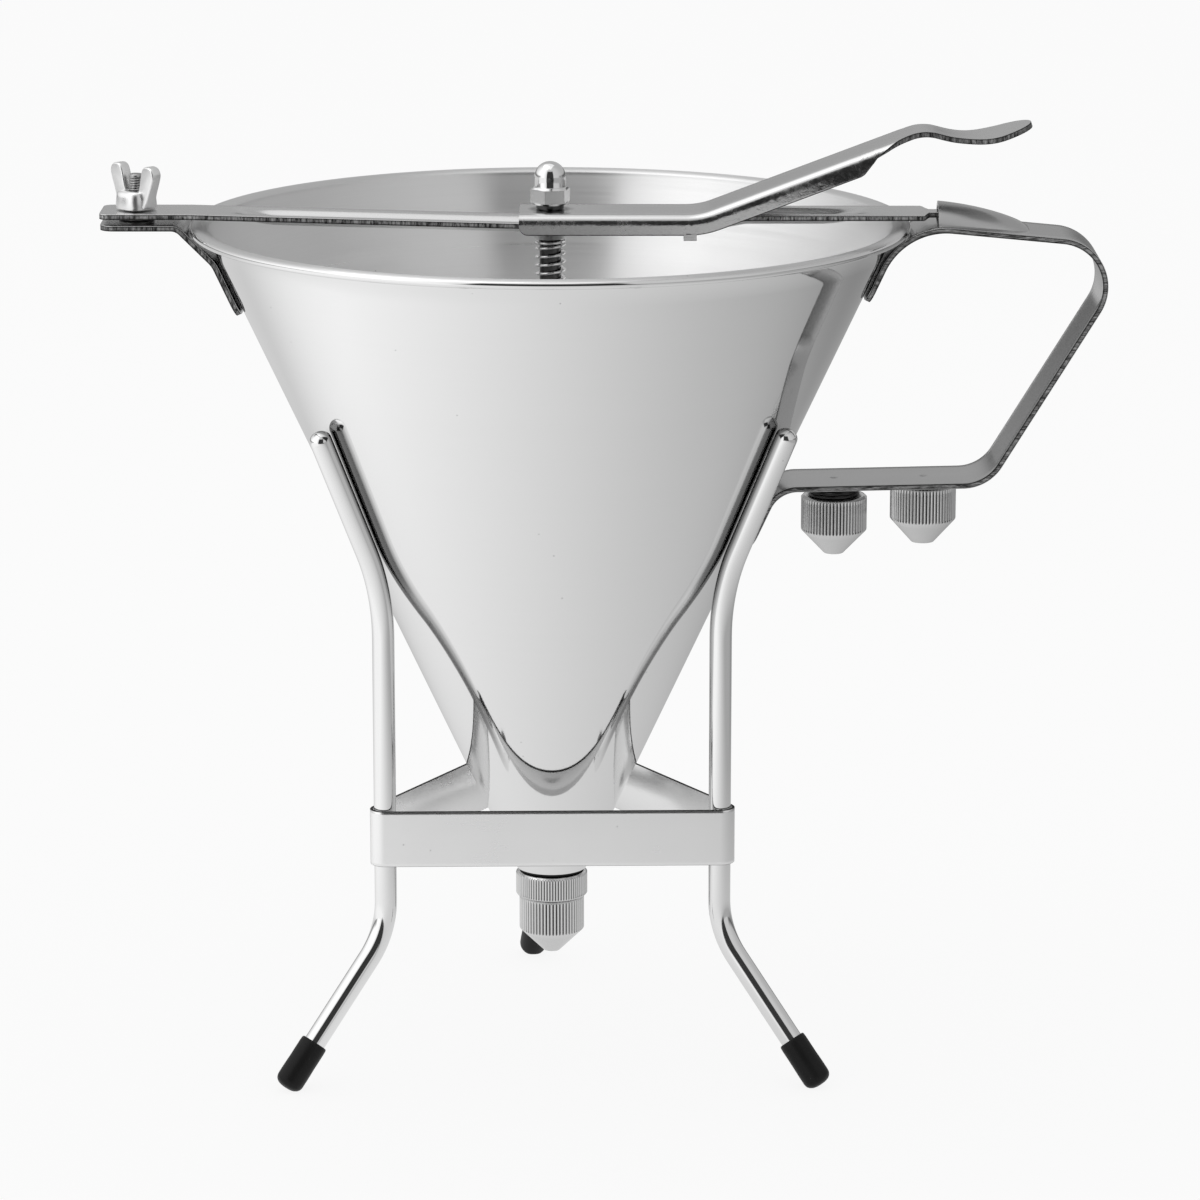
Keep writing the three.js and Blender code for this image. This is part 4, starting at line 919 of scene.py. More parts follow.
crest_z = WEB_MIDDLE + (CREST_X - BEND_X) * ARM_RISE
dip_z = crest_z - (DIP_X - CREST_X) * math.tan(math.radians(14.6))
tip_z = dip_z + (TIP_X - DIP_X) * math.tan(math.radians(17.8))
lever_path = fillet_path(
    [(LEVER_LEFT, WEB_MIDDLE), (BEND_X, WEB_MIDDLE), (CREST_X, crest_z), (DIP_X, dip_z), (TIP_X, tip_z)],
    [22.0, 12.0, 31.0], step=1.5, spacing=1.2,
)
print("lever path", len(lever_path), "points")

# %% Lever sheet
FLAT = LEVER_HALF - SHEET / 2 - FOLD
ARC = FOLD * np.pi / 2
WALL_RUN = LEVER_DEPTH - SHEET / 2 - FOLD
CUT_X, CUT_RUN, CUT_LEFT = 84.6, 5.2, 2.9
NECK_HALF, NECK_FROM, NECK_TO = 8.3, 89.0, 100.0
FLARE_END = 10.5
FLARE = 10.2
SHEET_ROUND = 0.3
SHEET_POINTS = 65
EDGE_TURNS = np.radians([22.5, 67.5, 90, 112.5, 157.5])
EDGE_MARKS = np.array([1.0, 0.9, 0.6, 0.3, 0.2])


def fold(w, up, flat):
    """Folds a flat sheet: level up to the fold, a quarter circle, then straight down.

    w is the distance across from the middle line, up the height over the sheet's middle, and
    flat where the fold begins; on the paddle that lies beyond the sheet's edge.
    """
    size = np.abs(w)
    turn = np.clip((size - flat) / FOLD, 0, np.pi / 2)
    drop = np.maximum(size - flat - ARC, 0)
    radius = FOLD + up
    y = np.minimum(size, flat) + radius * np.sin(turn)
    return np.sign(w) * y, radius * np.cos(turn) - FOLD - drop


def lever_reach(run, x, total):
    """How far the sheet reaches across: full walls, a slanted cut, a neck, a flare, a round end."""
    full = FLAT + ARC + WALL_RUN
    corner = LEVER_CORNER - quarter_curve(LEVER_CORNER - run, LEVER_CORNER)
    cut = np.clip((x - CUT_X) / CUT_RUN, 0, 1)
    walls = full - corner - (full - FLAT - CUT_LEFT) * cut
    reach = walls + (NECK_HALF - walls) * cosine_step(x, NECK_FROM, NECK_TO)
    left = total - run
    flare = 1 - cosine_step(left, FLARE_END, FLARE_END + FLARE)
    reach = reach + (LEVER_HALF - NECK_HALF) * flare * (x > CREST_X)
    end = np.clip(left / LEVER_HALF, 0, 1)
    round_end = LEVER_HALF * np.sqrt(np.maximum(1 - (1 - end) ** 2, 0.0)) + 0.02
    return np.where(x > CREST_X, np.minimum(reach, round_end), reach)


def lever_section(path, run):
    """Across, up and mark of the folded sheet: its top, one edge, its underside, the other edge."""
    broad = np.maximum(lever_reach(run, path[:, 0], run[-1])[:, None] - SHEET_ROUND, 0.01)
    flat = np.where(path[:, 0] < CREST_X - 4.0, FLAT, 2 * LEVER_HALF)[:, None]
    w = broad * np.linspace(-1, 1, SHEET_POINTS)
    edge = broad + SHEET_ROUND * np.sin(EDGE_TURNS)
    cosine = np.cos(EDGE_TURNS)
    lift = np.sign(cosine) * (SHEET / 2 - SHEET_ROUND) * (np.abs(cosine) > 0.01) + SHEET_ROUND * cosine
    parts = [fold(w, SHEET / 2, flat), fold(edge, lift, flat),
             fold(w[:, ::-1], -SHEET / 2, flat), fold(-edge[:, ::-1], lift[::-1], flat)]
    across = np.hstack([y for y, _ in parts])
    up = np.hstack([z for _, z in parts])
    face = np.zeros(SHEET_POINTS)
    # Round the cap nut's foot the web's top gets marks below 0: painted shade where the nut stands on the
    # web.
    shade_under_nut = 1 - smooth_step(np.hypot(path[:, :1], across), 4.6, 6.6)
    mark = np.concatenate([face, EDGE_MARKS, face, EDGE_MARKS[::-1]]) - 0.8 * shade_under_nut * (up > 0)
    return across, up, mark


stations = np.concatenate([end_stations(LEVER_CORNER), -end_stations(LEVER_HALF), [-0.05]])
path, run = add_stations(lever_path, stations)
across, up, mark = lever_section(path, run)
store = add_solid(new_store(), on_plane(path, across, up), marks=mark)
upright = (np.abs(across) > LEVER_HALF - 0.6) & (path[:, 0] < CREST_X - 4.0)[:, None] & (mark <= 0)
upright = upright[:-1] & upright[1:] & np.roll(upright, -1, axis=1)[:-1]
store["slots"][:upright.size] = upright.astype(int).ravel().tolist()
print("sheet reach", round(float(np.abs(across).max()), 2), "mm each way once folded")


# %% Lever clips
def rounded_box(store, low, high, round_by=0.35, power=8.0):
    """A box with rounded edges: a superellipse section carried along x, with dished ends."""
    low, high = np.array(low), np.array(high)
    centre, half = (low + high) / 2, (high - low) / 2
    t = whole_turn(48)
    inset = round_by * (1 - np.sin(np.linspace(0, np.pi / 2, 5)))
    x = np.concatenate([-half[0] + inset, half[0] - inset[::-1]])
    shrink = np.concatenate([inset, inset[::-1]])[:, None]
    size = (np.abs(np.cos(t)) ** power + np.abs(np.sin(t)) ** power) ** (-1 / power)
    y = (half[1] - shrink) * np.cos(t) * size
    z = (half[2] - shrink) * np.sin(t) * size
    grid = np.stack([centre[0] + x[:, None] + 0 * y, centre[1] + y, centre[2] + z], axis=-1)
    return add_solid(store, grid, slot=1)


CLIP_X = (36.9, 40.5)
CLIP_PARTS = ((SHEET, 3.0), (4.7, 1.3))  # width and height of the wall, then of the foot
clip_low = WEB_MIDDLE + SHEET / 2 - LEVER_DEPTH - 1.4
for sign in (-1, 1):
    for width, tall in CLIP_PARTS:
        y = sorted([sign * (LEVER_HALF - width), sign * LEVER_HALF])
        rounded_box(store, (AXIS_X + CLIP_X[0], y[0], clip_low), (AXIS_X + CLIP_X[1], y[1], clip_low + tall))
piece("thumb_lever", store, "lever_arm", "lever", ["lever_satin", "lever_wall_scratched"])

# %% [markdown]
# ## Rod, cap nut and spring
# Turned pieces are profiles carried round the axis. The nut's flats are a radius that depends on
# the angle, cut back by a chamfer cone.

# %% Cap nut
NUT_FLATS = 9.8
NUT_FOOT = 1.05
NUT_HEX = 4.95
NUT_DOME = 4.35
NUT_TURN = math.radians(15.2)
NUT_STEPS = 240
NUT_CUT = 0.62
nut_foot, nut_height = upright_span("cap_nut")


def hex_radius(a, r, z):
    """Distance to a hexagon's side at each angle, no further than the profile's radius."""
    turned_by = (a - NUT_TURN) % (np.pi / 3) - np.pi / 6
    return np.minimum(r, NUT_FLATS / 2 / np.cos(turned_by))


def cap_nut_profile():
    """Round foot, chamfer, flats, chamfer, dome neck, and the dome as a quarter circle."""
    corner = NUT_FLATS / 2 / math.cos(math.pi / 6)
    low, top = NUT_FOOT, NUT_FOOT + NUT_HEX
    foot = [(3.3, 0.0), (3.85, 0.0), (3.85, low - 0.05), (4.5, low), (4.72, low + 0.06),
            (corner, low + NUT_CUT)]
    flats = column(corner, low + 1.0, top - 1.0, 6)
    neck = [(corner, top - NUT_CUT), (4.72, top - 0.06), (4.5, top), (NUT_DOME + 0.05, top + 0.03),
            (NUT_DOME, top + 0.25)]
    base = nut_height - NUT_DOME
    dome = [(max(NUT_DOME * math.cos(v), MIDDLE), base + NUT_DOME * math.sin(v))
            for v in np.linspace(0, np.pi / 2, 20)]
    return np.array(foot + flats + neck + dome)


profile = cap_nut_profile()
store = revolve(new_store(), profile, (AXIS_X, 0, nut_foot), steps=NUT_STEPS, radius=hex_radius, closed=False)
cut = profile[:, :1] > hex_radius(whole_turn(NUT_STEPS), np.inf, 0) + 0.001
cut = cut[:-1] & cut[1:]
flats = (cut & np.roll(cut, -1, axis=1)).astype(int)
# The foot's faces take the near-black steel: painted shade where the foot stands in the nut's shadow on the
# lever.
flats[:2] = 2
store["slots"][:flats.size] = flats.ravel().tolist()
piece("cap_nut_domed", store, "piston", "cap_nut",
      ["nut_chrome", "nut_flats_satin", "steel_painted_shade"], sharp=28)

# %% Rod, stop and tip
rod_h = upright_span("piston_rod")[1]
stop_h = upright_span("spring_stop")[1]
tip_h = upright_span("piston_tip")[1]
# The rod is polished steel; its near-black colour is painted shade, the shade inside the spring.
turned("rod", "piston_rod", "piston", "polished_steel", "steel_painted_shade",
       [(MIDDLE, 0.0), (3.0, 0.0), (3.0, rod_h - 0.7), (2.3, rod_h), (MIDDLE, rod_h)], steps=48, closed=False)
turned("stop_ring", "spring_stop", "piston", "polished_steel", "nut_chrome",
       [(3.05, 0.0), (4.6, 0.0), (4.9, 0.3), (4.9, stop_h - 0.3), (4.6, stop_h), (3.05, stop_h)])
turned("valve_tip", "piston_tip", "piston", "polished_steel", "nut_chrome",
       [(MIDDLE, 0.0), (1.55, 0.0), (3.85, 2.3), (4.0, 2.6), (4.0, tip_h - 0.4), (3.6, tip_h),
        (3.05, tip_h), (3.05, tip_h - 6.0), (MIDDLE, tip_h - 6.0)], closed=False)


# %% Spring
def tube(line, radius, sides=12, marks=None):
    """A round tube along a line in space.

    At each point two directions square to the line span a circle; the first is carried on from
    the point before, less its part along the line, so the tube doesn't twist.
    """
    along = unit(np.gradient(line, axis=0))
    first = np.zeros_like(line)
    guide = np.array([0.0, 1.0, 0.0]) if abs(along[0][1]) < 0.6 else np.array([1.0, 0.0, 0.0])
    for k, direction in enumerate(along):
        guide = unit(guide - direction * (guide @ direction))
        first[k] = guide
    second = np.cross(along, first)
    t = whole_turn(sides)[None, :, None]
    circle = np.cos(t) * first[:, None, :] + np.sin(t) * second[:, None, :]
    grid = line[:, None, :] + circle * np.broadcast_to(radius, (len(line),))[:, None, None]
    return add_solid(new_store(), grid, marks=marks(line, circle) if marks else 0.0)


SPRING_R, WIRE, PITCH = 3.83, 0.47, 2.45
WOUND = 2 * np.pi
spring_foot, height = upright_span("return_spring")
turns = round((height - 2 * WIRE * 2) / PITCH)
angle = np.linspace(0, WOUND * (turns + 2), (turns + 2) * 40)
open_share = np.clip((angle - WOUND) / (angle[-1] - 2 * WOUND), 0, 1)
closed_rise = 2 * WIRE * (np.clip(angle / WOUND, 0, 1) + np.clip((angle - angle[-1]) / WOUND + 1, 0, 1))
z = spring_foot + WIRE + closed_rise + (height - 6 * WIRE) * open_share
line = np.stack([AXIS_X + SPRING_R * np.cos(angle), SPRING_R * np.sin(angle), z], axis=1)
spring = piece("spring_coil", tube(line, WIRE), "piston", "return_spring", ["spring_steel"])
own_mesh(spring)

# %% [markdown]
# ## Stud and wing nut
# The stud is threaded: its radius rises and falls with the height plus a share of the angle. The
# wing nut is a cast boss with two ears; each ear is a rounded plate that leans outwards.

# %% Clamp stud
def thread_radius(pitch, depth, start, end):
    """Radius less a helical groove: a triangle wave of height over pitch, less the angle's share."""
    def radius(a, r, z):
        wave = np.abs(((z / pitch - a / (2 * np.pi)) % 1.0) * 2 - 1)
        inside = np.clip(np.minimum(z - start, end - z) / 0.4, 0, 1)
        return r - depth * wave * inside * (r > depth * 2)
    return radius


STUD_R = 2.0
FLANGE_R = 5.0
stud_low, stud_high = box_mm("clamp_stud")
stud_x = (stud_low[0] + stud_high[0]) / 2
stud_h = stud_high[2] - stud_low[2]
flange = lug_top + 0.2 - stud_low[2]
profile = [(MIDDLE, 0.0), (STUD_R, 0.0), (STUD_R, flange - 0.05), (FLANGE_R - 0.15, flange),
           (FLANGE_R, flange + 0.15), (FLANGE_R, flange + 0.65), (FLANGE_R - 0.15, flange + 0.8),
           (STUD_R, flange + 0.85)]
profile += column(STUD_R, flange + 0.9, stud_h - 0.5, 110) + [(1.55, stud_h), (MIDDLE, stud_h)]
turned("clamp_post", "clamp_stud", "funnel", "zinc", "thread_steel", profile, x=stud_x, sharp=60,
       closed=False, radius=thread_radius(0.7, 0.34, flange + 1.0, stud_h - 0.4), lost=0.4)

# %% Wing nut
WING_TURN = math.radians(-46)
EAR_THICKNESS = 2.9
EAR_EDGE = 0.5
wing_z, wing_h = upright_span("wing_nut")


def smooth_outline(corners, cut=0.25, rounds=2):
    """Rounds a closed outline by cutting each corner: each side keeps its middle part."""
    line = np.array(corners, dtype=float)
    for _ in range(rounds):
        ahead = np.roll(line, -1, axis=0)
        pairs = np.stack([line * (1 - cut) + ahead * cut, line * cut + ahead * (1 - cut)], axis=1)
        line = pairs.reshape(-1, 2)
    return line


def ear(store, turn):
    """One ear: a thick plate that stands on the boss, leans outwards and is broad at its top.

    The outline is drawn in at both faces as a quarter circle, which rounds the plate's edge.
    """
    outline = smooth_outline([(2.6, 0.5), (6.0, 0.3), (7.0, 4.0), (9.0, 9.0), (9.4, wing_h - 1.4),
                              (8.2, wing_h + 0.5), (5.4, wing_h + 0.7), (4.1, wing_h - 1.2),
                              (3.2, 6.5), (2.2, 4.6)])
    outline[:, 1] *= wing_h / outline[:, 1].max()
    ahead = np.roll(outline, -1, axis=0) - np.roll(outline, 1, axis=0)
    normal = unit(np.stack([ahead[:, 1], -ahead[:, 0]], axis=1))
    t = np.linspace(0, np.pi / 2, 5)
    draw = EAR_EDGE * (1 - np.sin(t))
    sink = EAR_EDGE * (1 - np.cos(t)) - EAR_THICKNESS / 2
    inset = np.concatenate([draw, draw[::-1]])[:, None, None]
    across = np.concatenate([sink, -sink[::-1]])[:, None]
    along, up = np.moveaxis(outline[None] - normal[None] * inset, -1, 0)
    slim = across * (1.12 + 0.45 * np.clip(1 - up / 6.0, 0, 1) ** 2)
    grid = np.stack([stud_x + along * math.cos(turn) - slim * math.sin(turn),
                     along * math.sin(turn) + slim * math.cos(turn), wing_z + up], axis=-1)
    return add_solid(store, grid)


def square_boss(a, r, z):
    """Soft square with its corners at the front, back and sides: a superellipse of power 3.

    The thread's hole in the middle stays round.
    """
    power = 3.0
    b = a - np.pi / 4
    shape = (np.abs(np.cos(b)) ** power + np.abs(np.sin(b)) ** power) ** (-1 / power)
    widest = 2 ** (0.5 - 1 / power)
    return np.where(r > 3, r * shape / widest, r)


BOSS = [(2.3, 0.0), (5.3, 0.0), (5.65, 0.3), (5.7, 1.2), (5.5, 3.4), (5.15, 4.6), (4.6, 5.1), (3.6, 5.3),
        (2.5, 5.2), (2.3, 5.0)]
store = revolve(new_store(), BOSS, (stud_x, 0, wing_z), steps=96, radius=square_boss)
ear(store, WING_TURN)
ear(store, WING_TURN + math.pi)
piece("wing_nut_cast", store, "clamp_nut", "wing_nut", ["wing_nut_zinc"])

# %% [markdown]
# ## Spout
# The black seal, the knurled ring and the nozzle hang under the cone. Knurling is a ring of
# straight grooves, so the radius is a function of the angle alone between two heights.

# %% Knurled parts
def knurl(count, depth, start, end):
    """Radius less a row of grooves; the grooves run out at both heights and spare the bore."""
    def radius(a, r, z):
        wave = np.abs(np.sin(a * count / 2)) ** 0.7
        inside = np.clip(np.minimum(z - start, end - z) / 0.25, 0, 1)
        outer = np.clip((r - 8.2) / 0.5, 0, 1)
        return r - depth * (1 - wave) * inside * outer
    return radius


RING_R = 10.2
BORE = 7.5
ring_h = upright_span("collar_ring")[1]
profile = [(BORE, 0.0), (RING_R - 0.6, 0.0), (RING_R - 0.25, 0.12), (RING_R, 0.45)]
profile += column(RING_R, 0.6, ring_h - 1.0, 10)
profile += [(RING_R, ring_h - 0.7), (RING_R - 0.4, ring_h - 0.2), (RING_R - 0.8, ring_h), (BORE, ring_h)]
turned("knurled_ring", "collar_ring", "collar", "knurled_steel", "knurled_satin", profile, sharp=50,
       steps=936, radius=knurl(78, 0.42, 0.3, ring_h - 0.7), lost=0.7)

NOZZLE_R = 9.25
NOZZLE_CONE = NOZZLE_R - 2.45
CONE_SHADE = -0.09


def nozzle_piece(name, node, body, tip):
    """A nozzle: grooved cap above, a bare cone below, and its bore. The cone's rows are shaded."""
    low, high = box_mm(node)
    h = high[2] - low[2]
    outside = [(tip - 0.6, 0.0), (tip - 0.15, 0.0), (tip, 0.12)]
    outside += [(tip + share * (NOZZLE_R - tip), 0.12 + share * (NOZZLE_CONE - 0.12))
                for share in (0.25, 0.5, 0.75, 0.97)]
    outside += [(NOZZLE_R - 0.03, NOZZLE_CONE + 0.05), (NOZZLE_R, NOZZLE_CONE + 0.25)]
    outside += column(NOZZLE_R, NOZZLE_CONE + 0.45, h - 0.8, 12)
    outside += [(NOZZLE_R, h - 0.5), (NOZZLE_R - 0.5, h), (BORE + 0.2, h), (BORE, h - 0.2),
                (BORE, NOZZLE_CONE + 1.0), (tip - 0.6, 1.4)]
    store = revolve(new_store(), outside, ((low[0] + high[0]) / 2, 0, low[2]), steps=812,
                    radius=knurl(58, 0.62, NOZZLE_CONE - 0.1, h - 0.5), lost=0.75)
    store["marks"][0].reshape(len(outside), -1)[1:6] = CONE_SHADE
    return piece(name, store, body, node, ["knurled_satin"], sharp=50)


nozzle_piece("nozzle_fine", "nozzle", "outlet", 2.45)
nozzle_piece("nozzle_medium", "spare_nozzle_medium", "spare_medium", 2.85)
nozzle_piece("nozzle_coarse", "spare_nozzle_coarse", "spare_coarse", 3.3)

# %% Seal, bush and studs
THREAD_R = 7.2
THREAD_PITCH = 1.0
THREAD_DEPTH = 0.45
SEAL_R = 9.3
seal_h = upright_span("spout_gasket")[1]
turned("seal", "spout_gasket", "funnel", "black_rubber", "rubber_black",
       [(BORE, 0.0), (SEAL_R - 0.15, 0.0), (SEAL_R, 0.12), (SEAL_R, seal_h - 0.12), (SEAL_R - 0.15, seal_h),
        (BORE, seal_h)], steps=96)

bush_foot, bush_h = upright_span("spout_bush")
seat = SPOUT_TOP + GAP - bush_foot
clear = WALL + GAP / CONE_COS
r_seat = float(cone_radius(SPOUT_TOP + GAP)) - clear
r_top = float(cone_radius(bush_foot + bush_h)) - clear
profile = [(5.2, 0.0), (6.8, 0.0), (THREAD_R, 0.4)] + column(THREAD_R, 0.6, seat - 0.4, 80)
profile += [(THREAD_R, seat), (r_seat, seat), (r_top, bush_h), (r_top - 1.4, bush_h), (5.2, seat + 1.4)]
turned("threaded_bush", "spout_bush", "funnel", "knurled_steel", "thread_steel", profile, sharp=60,
       steps=96, radius=thread_radius(THREAD_PITCH, THREAD_DEPTH, 0.5, seat - 0.5))

# The spare studs are steel like the bush; their near-black thread is painted shade under the handle.
for size in ("medium", "coarse"):
    low, high = box_mm("stud_" + size)
    h = high[2] - low[2]
    profile = [(MIDDLE, 0.0), (6.6, 0.0), (THREAD_R, 0.6)] + column(THREAD_R, 0.8, h - 0.3, 60)
    profile += [(THREAD_R, h), (MIDDLE, h)]
    turned("spare_stud_" + size, "stud_" + size, "funnel", "knurled_steel", "spare_thread_painted_shade", profile,
           x=(low[0] + high[0]) / 2, sharp=60, steps=96, closed=False,
           radius=thread_radius(THREAD_PITCH, THREAD_DEPTH, 0.6, h - 0.2))

# %% [markdown]
# ## Stand
# Three polished wires bend in to cradle the cone and out to the feet. A band of thin sheet is
# wrapped round them, and each foot wears a rubber cap.

# %% Legs
DOME = 0.8  # height of the wire's rounded end, as a share of its radius


def domed(line, radius, count=9):
    """Adds a domed start to a line: radii of a circle, spaced along the first direction."""
    t = np.linspace(np.pi / 2, 0.0, count, endpoint=False)
    tops = line[0] + unit(line[0] - line[1]) * (radius * DOME * np.sin(t))[:, None]
    radii = radius * np.maximum(np.cos(t), 0.02)
    return np.vstack([tops, line]), np.concatenate([radii, np.full(len(line), radius)])


for side, azimuth, foot_turn, top_turn in LEGS:
    line = leg_line(foot_turn, top_turn)
    line[-1] = line[-1] + unit(line[-2] - line[-1]) * LEG_R / 2
    line, radii = domed(line, LEG_R)
    store = tube(swing_round(line, azimuth), radii, sides=48, marks=towards_cone)
    piece(f"wire_leg_{side}", store, "stand", f"leg_{side}", ["wire_chrome"], sharp=60)

# %% Foot caps
FOOT_LENGTH = 16.0
FOOT_CROWN = 3.0
FOOT_POWER = 2.6


def foot_grid(line):
    """A blind tube: the blunt end and wall, over the lip, and down the bore.

    The end is a superellipse: (r / R)^p + (depth / crown)^p = 1 with p = FOOT_POWER. Points that
    would lie under the floor are lifted to it, which makes the flat worn spot.
    """
    up = unit(line[-2] - line[-1])
    share = np.sin(np.linspace(0.03, np.pi / 2, 18))
    neck = FOOT_LENGTH - FOOT_R
    crown = -FOOT_CROWN * (1 - share ** FOOT_POWER) ** (1 / FOOT_POWER)
    along = np.concatenate([crown, [2.0, 4.0, 5.5, neck - 1.6, neck - 0.5, neck - 0.15, neck, neck,
                                    neck - 0.5, 3.0]])
    radii = np.concatenate([FOOT_R * share, [4.0, 3.97, 3.93, 3.93, 3.88, 3.74, 3.55, 3.35, 3.2, 3.15]])
    first = unit(np.cross(up, [0.0, 0.0, 1.0]))
    a = whole_turn(64)[None, :, None]
    circle = np.cos(a) * first + np.sin(a) * np.cross(up, first)
    grid = line[-1] + up * along[:, None, None] + circle * radii[:, None, None]
    grid[..., 2] = np.maximum(grid[..., 2], 0.0)
    return grid


for side, azimuth, foot_turn, top_turn in LEGS:
    grid = swing_round(foot_grid(leg_line(foot_turn, top_turn)), azimuth)
    piece(f"rubber_foot_{side}", add_solid(new_store(), grid), "stand", f"foot_cap_{side}",
          ["rubber_black"], sharp=60)

# %% Band
BAND_SHEET = 0.8
BAND_SOFT = 0.18
BAND_SHADE = -0.32


def band_outline(radius, corner_points=16, side_points=12):
    """Closed outline: an arc round each leg, joined by straight sides, all at one offset."""
    rows = []
    for corner in range(3):
        facing = math.radians(90 + corner * 120)
        a = facing + np.radians(np.linspace(-60, 60, corner_points))
        rows.append(np.stack([LEG_CIRCLE * math.cos(facing) + radius * np.cos(a),
                              LEG_CIRCLE * math.sin(facing) + radius * np.sin(a)], axis=1))
    outline = []
    for here, there in zip(rows, rows[1:] + rows[:1]):
        share = np.linspace(0, 1, side_points + 2)[1:-1, None]
        outline += [here, here[-1] + (there[0] - here[-1]) * share]
    return np.vstack(outline)


def band_grid(low, high):
    """Section of the band carried round its outline: out, over the edge, in and back.

    Little light gets between the cone and the front panel, so its inner face has a mark below 0.
    """
    section = [(BAND_SHEET - BAND_SOFT, low, 0.3), (BAND_SHEET, low + BAND_SOFT, 0.0)]
    section += [(BAND_SHEET, z, 0.0) for z in np.linspace(low + 1, high - 1, 7)]
    section += [(BAND_SHEET, high - BAND_SOFT, 0.0), (BAND_SHEET - BAND_SOFT, high, 1.0),
                (BAND_SOFT, high, 1.0), (0.0, high - BAND_SOFT, BAND_SHADE),
                (0.0, low + BAND_SOFT, BAND_SHADE), (BAND_SOFT, low, 0.3)]
    rings, marks = [], []
    for out, z, mark in section:
        flat = band_outline(LEG_R + GAP + out)
        rings.append(np.column_stack([flat, np.full(len(flat), z)]))
        front = smooth_step(-flat[:, 1], 24.0, 29.0)
        marks.append(mark * front if mark < 0 else np.full(len(flat), mark))
    return swing_round(np.array(rings), 0.0), np.array(marks)


band_low, band_high = box_mm("triangle_band")
grid, marks = band_grid(band_low[2], band_high[2])
store = add_grid(new_store(), grid, wrap_u=True, wrap_v=True, marks=marks)
piece("leg_band", store, "stand", "triangle_band", ["band_bright"], sharp=50)

# %% [markdown]
# ## Studio
# White paper underneath and behind, a soft light from above and the sides, and a darker room behind
# the camera, which gives the upright metal its grey.

# %% Floor
WHITE = (1.0, 1.0, 1.0, 1.0)
FLOOR_HALF = 6.0


def smooth_map(tree, value, low, high, start=0.0, end=1.0):
    """Map Range with a soft start and end: 3t^2 - 2t^3 between two values."""
    return map_range(tree, value, low, high, start, end, kind="SMOOTHSTEP")


def ray_kinds(tree):
    """1 for rays from the camera, and 1 for rays that leave a glossy surface."""
    rays = tree.nodes.new("ShaderNodeLightPath").outputs
    gloss = maths(tree, "MAXIMUM", rays["Is Glossy Ray"], rays["Is Transmission Ray"])
    return rays["Is Camera Ray"], gloss


def floor_glow(tree):
    """What gloss sees of the paper: bright at the left, dim at the right, dark far in front."""
    place = tree.nodes.new("ShaderNodeTexCoord").outputs["Object"]
    x, y, _ = add_node(tree, "ShaderNodeSeparateXYZ", {0: place}).outputs
    side = map_range(tree, x, -0.30, 0.36, 1.05, 0.42)
    ahead = maths(tree, "MAXIMUM", maths(tree, "MULTIPLY", y, -1.0), 0.05)
    slant = maths(tree, "DIVIDE", maths(tree, "ABSOLUTE", x), ahead)
    beside = smooth_map(tree, slant, 0.40, 0.62)
    front = maths(tree, "MAXIMUM", beside, smooth_map(tree, y, -0.98, -0.52, 0.06, 1.0))
    back = smooth_map(tree, y, -0.05, 0.42, 1.0, 0.64)
    return maths(tree, "MULTIPLY", side, maths(tree, "MULTIPLY", front, back))


def floor_material():
    """White paper: seen white, keeps the object's shadow, and has its own glow for gloss."""
    material = bpy.data.materials.new("paper_white")
    tree = empty_tree(material)
    from_camera, gloss = ray_kinds(tree)
    seen = maths(tree, "MULTIPLY", from_camera, 0.88)
    strength = maths(tree, "MULTIPLY_ADD", gloss, maths(tree, "SUBTRACT", floor_glow(tree), 1.0), 1.0)
    matte = add_node(tree, "ShaderNodeBsdfDiffuse", {"Color": (0.8, 0.8, 0.8, 1.0)})
    glow = add_node(tree, "ShaderNodeEmission", {"Color": WHITE, "Strength": strength})
    share = maths(tree, "MAXIMUM", seen, gloss)
    mixed = add_node(tree, "ShaderNodeMixShader", {0: share, 1: matte.outputs[0], 2: glow.outputs[0]})
    add_node(tree, "ShaderNodeOutputMaterial", {"Surface": mixed.outputs[0]})
    return material


corners = [(FLOOR_HALF * x, FLOOR_HALF * y, 0) for x, y in ((-1, -1), (1, -1), (1, 1), (-1, 1))]
floor_mesh = bpy.data.meshes.new("floor")
floor_mesh.from_pydata(corners, [], [(0, 1, 2, 3)])
floor_mesh.materials.append(floor_material())
floor = add_object("floor", floor_mesh)
print("paper", 2 * FLOOR_HALF, "m wide")


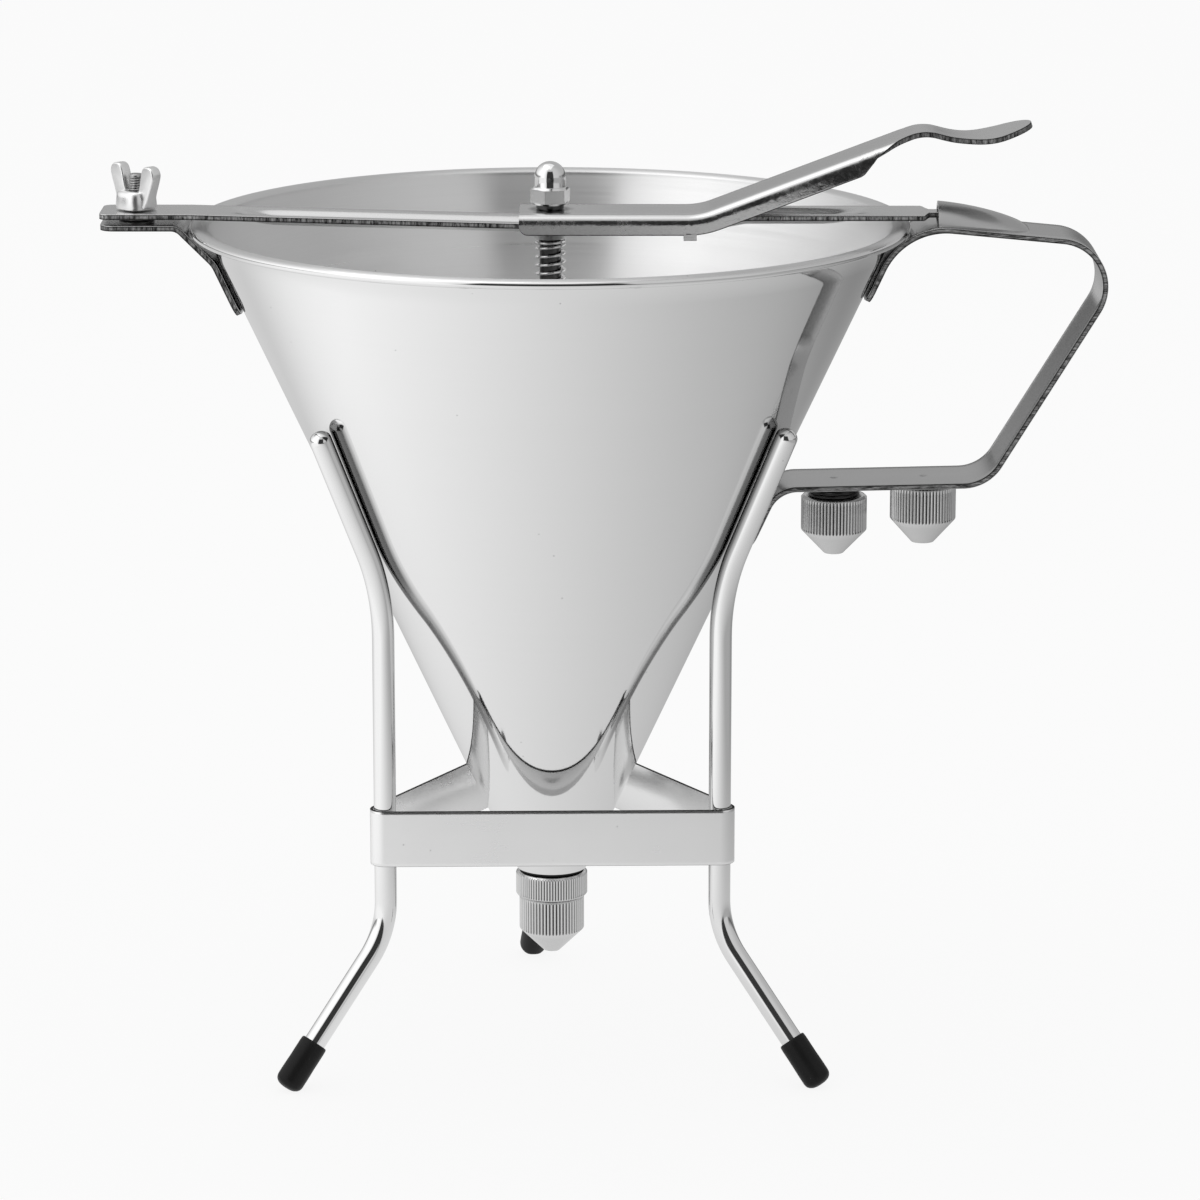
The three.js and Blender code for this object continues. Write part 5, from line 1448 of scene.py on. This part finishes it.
# %% World and lamp
def room(tree):
    """What gloss sees of the room: a bright left, a dim right, a dark horizon and camera side."""
    direction = tree.nodes.new("ShaderNodeTexCoord").outputs["Generated"]
    x, y, z = add_node(tree, "ShaderNodeSeparateXYZ", {0: direction}).outputs
    right = maths(tree, "ARCTAN2", x, maths(tree, "MULTIPLY", y, -1.0))
    left = maths(tree, "MULTIPLY", right, -1.0)
    window = smooth_map(tree, left, 0.15, 0.95)
    corner = smooth_map(tree, left, -2.0, -0.8)
    both = maths(tree, "MULTIPLY_ADD", window, 0.62, maths(tree, "MULTIPLY", corner, 0.14))
    level = maths(tree, "MULTIPLY_ADD", both, smooth_map(tree, left, 1.4, 2.9, 1.0, 0.0), 0.50)
    behind = smooth_map(tree, y, -0.45, 0.05, 1.0, 0.0)
    horizon = maths(tree, "MAXIMUM", behind, smooth_map(tree, z, 0.02, 0.19, 0.24, 1.0))
    beside = smooth_map(tree, maths(tree, "ABSOLUTE", left), 0.40, 0.48)
    open_room = maths(tree, "MAXIMUM", beside, smooth_map(tree, z, 0.66, 0.78))
    lit = maths(tree, "MULTIPLY", level, horizon)
    return maths(tree, "MULTIPLY", lit, maths(tree, "MULTIPLY_ADD", open_room, 0.94, 0.06))


def world_light():
    """Even white light for the camera and for matt surfaces, and the room for gloss."""
    world = bpy.data.worlds.new("studio")
    bpy.context.scene.world = world
    tree = empty_tree(world)
    from_camera, gloss = ray_kinds(tree)
    plain = maths(tree, "MULTIPLY_ADD", from_camera, 0.2, 0.8)
    change = maths(tree, "MULTIPLY", gloss, maths(tree, "SUBTRACT", room(tree), plain))
    strength = maths(tree, "ADD", plain, change)
    light = add_node(tree, "ShaderNodeBackground", {"Color": WHITE, "Strength": strength})
    add_node(tree, "ShaderNodeOutputWorld", {"Surface": light.outputs[0]})


LAMP_PLACE = np.array([-0.3, 0.1, 1.7])
LAMP_AIM = np.array([0.0, 0.0, 0.12])
LAMP_SIZE = 1.5
LAMP_POWER = 3.5

world_light()
lamp_data = bpy.data.lights.new("light_top", "AREA")
lamp_data.shape = "RECTANGLE"
lamp_data.size, lamp_data.size_y = LAMP_SIZE, LAMP_SIZE
lamp_data.energy = LAMP_POWER
lamp = add_object("light_top", lamp_data)
lamp.location = LAMP_PLACE
away = LAMP_PLACE - LAMP_AIM
lamp.rotation_euler = (math.atan2(math.hypot(away[0], away[1]), away[2]), 0.0, math.atan2(away[0], -away[1]))
print("studio lit")
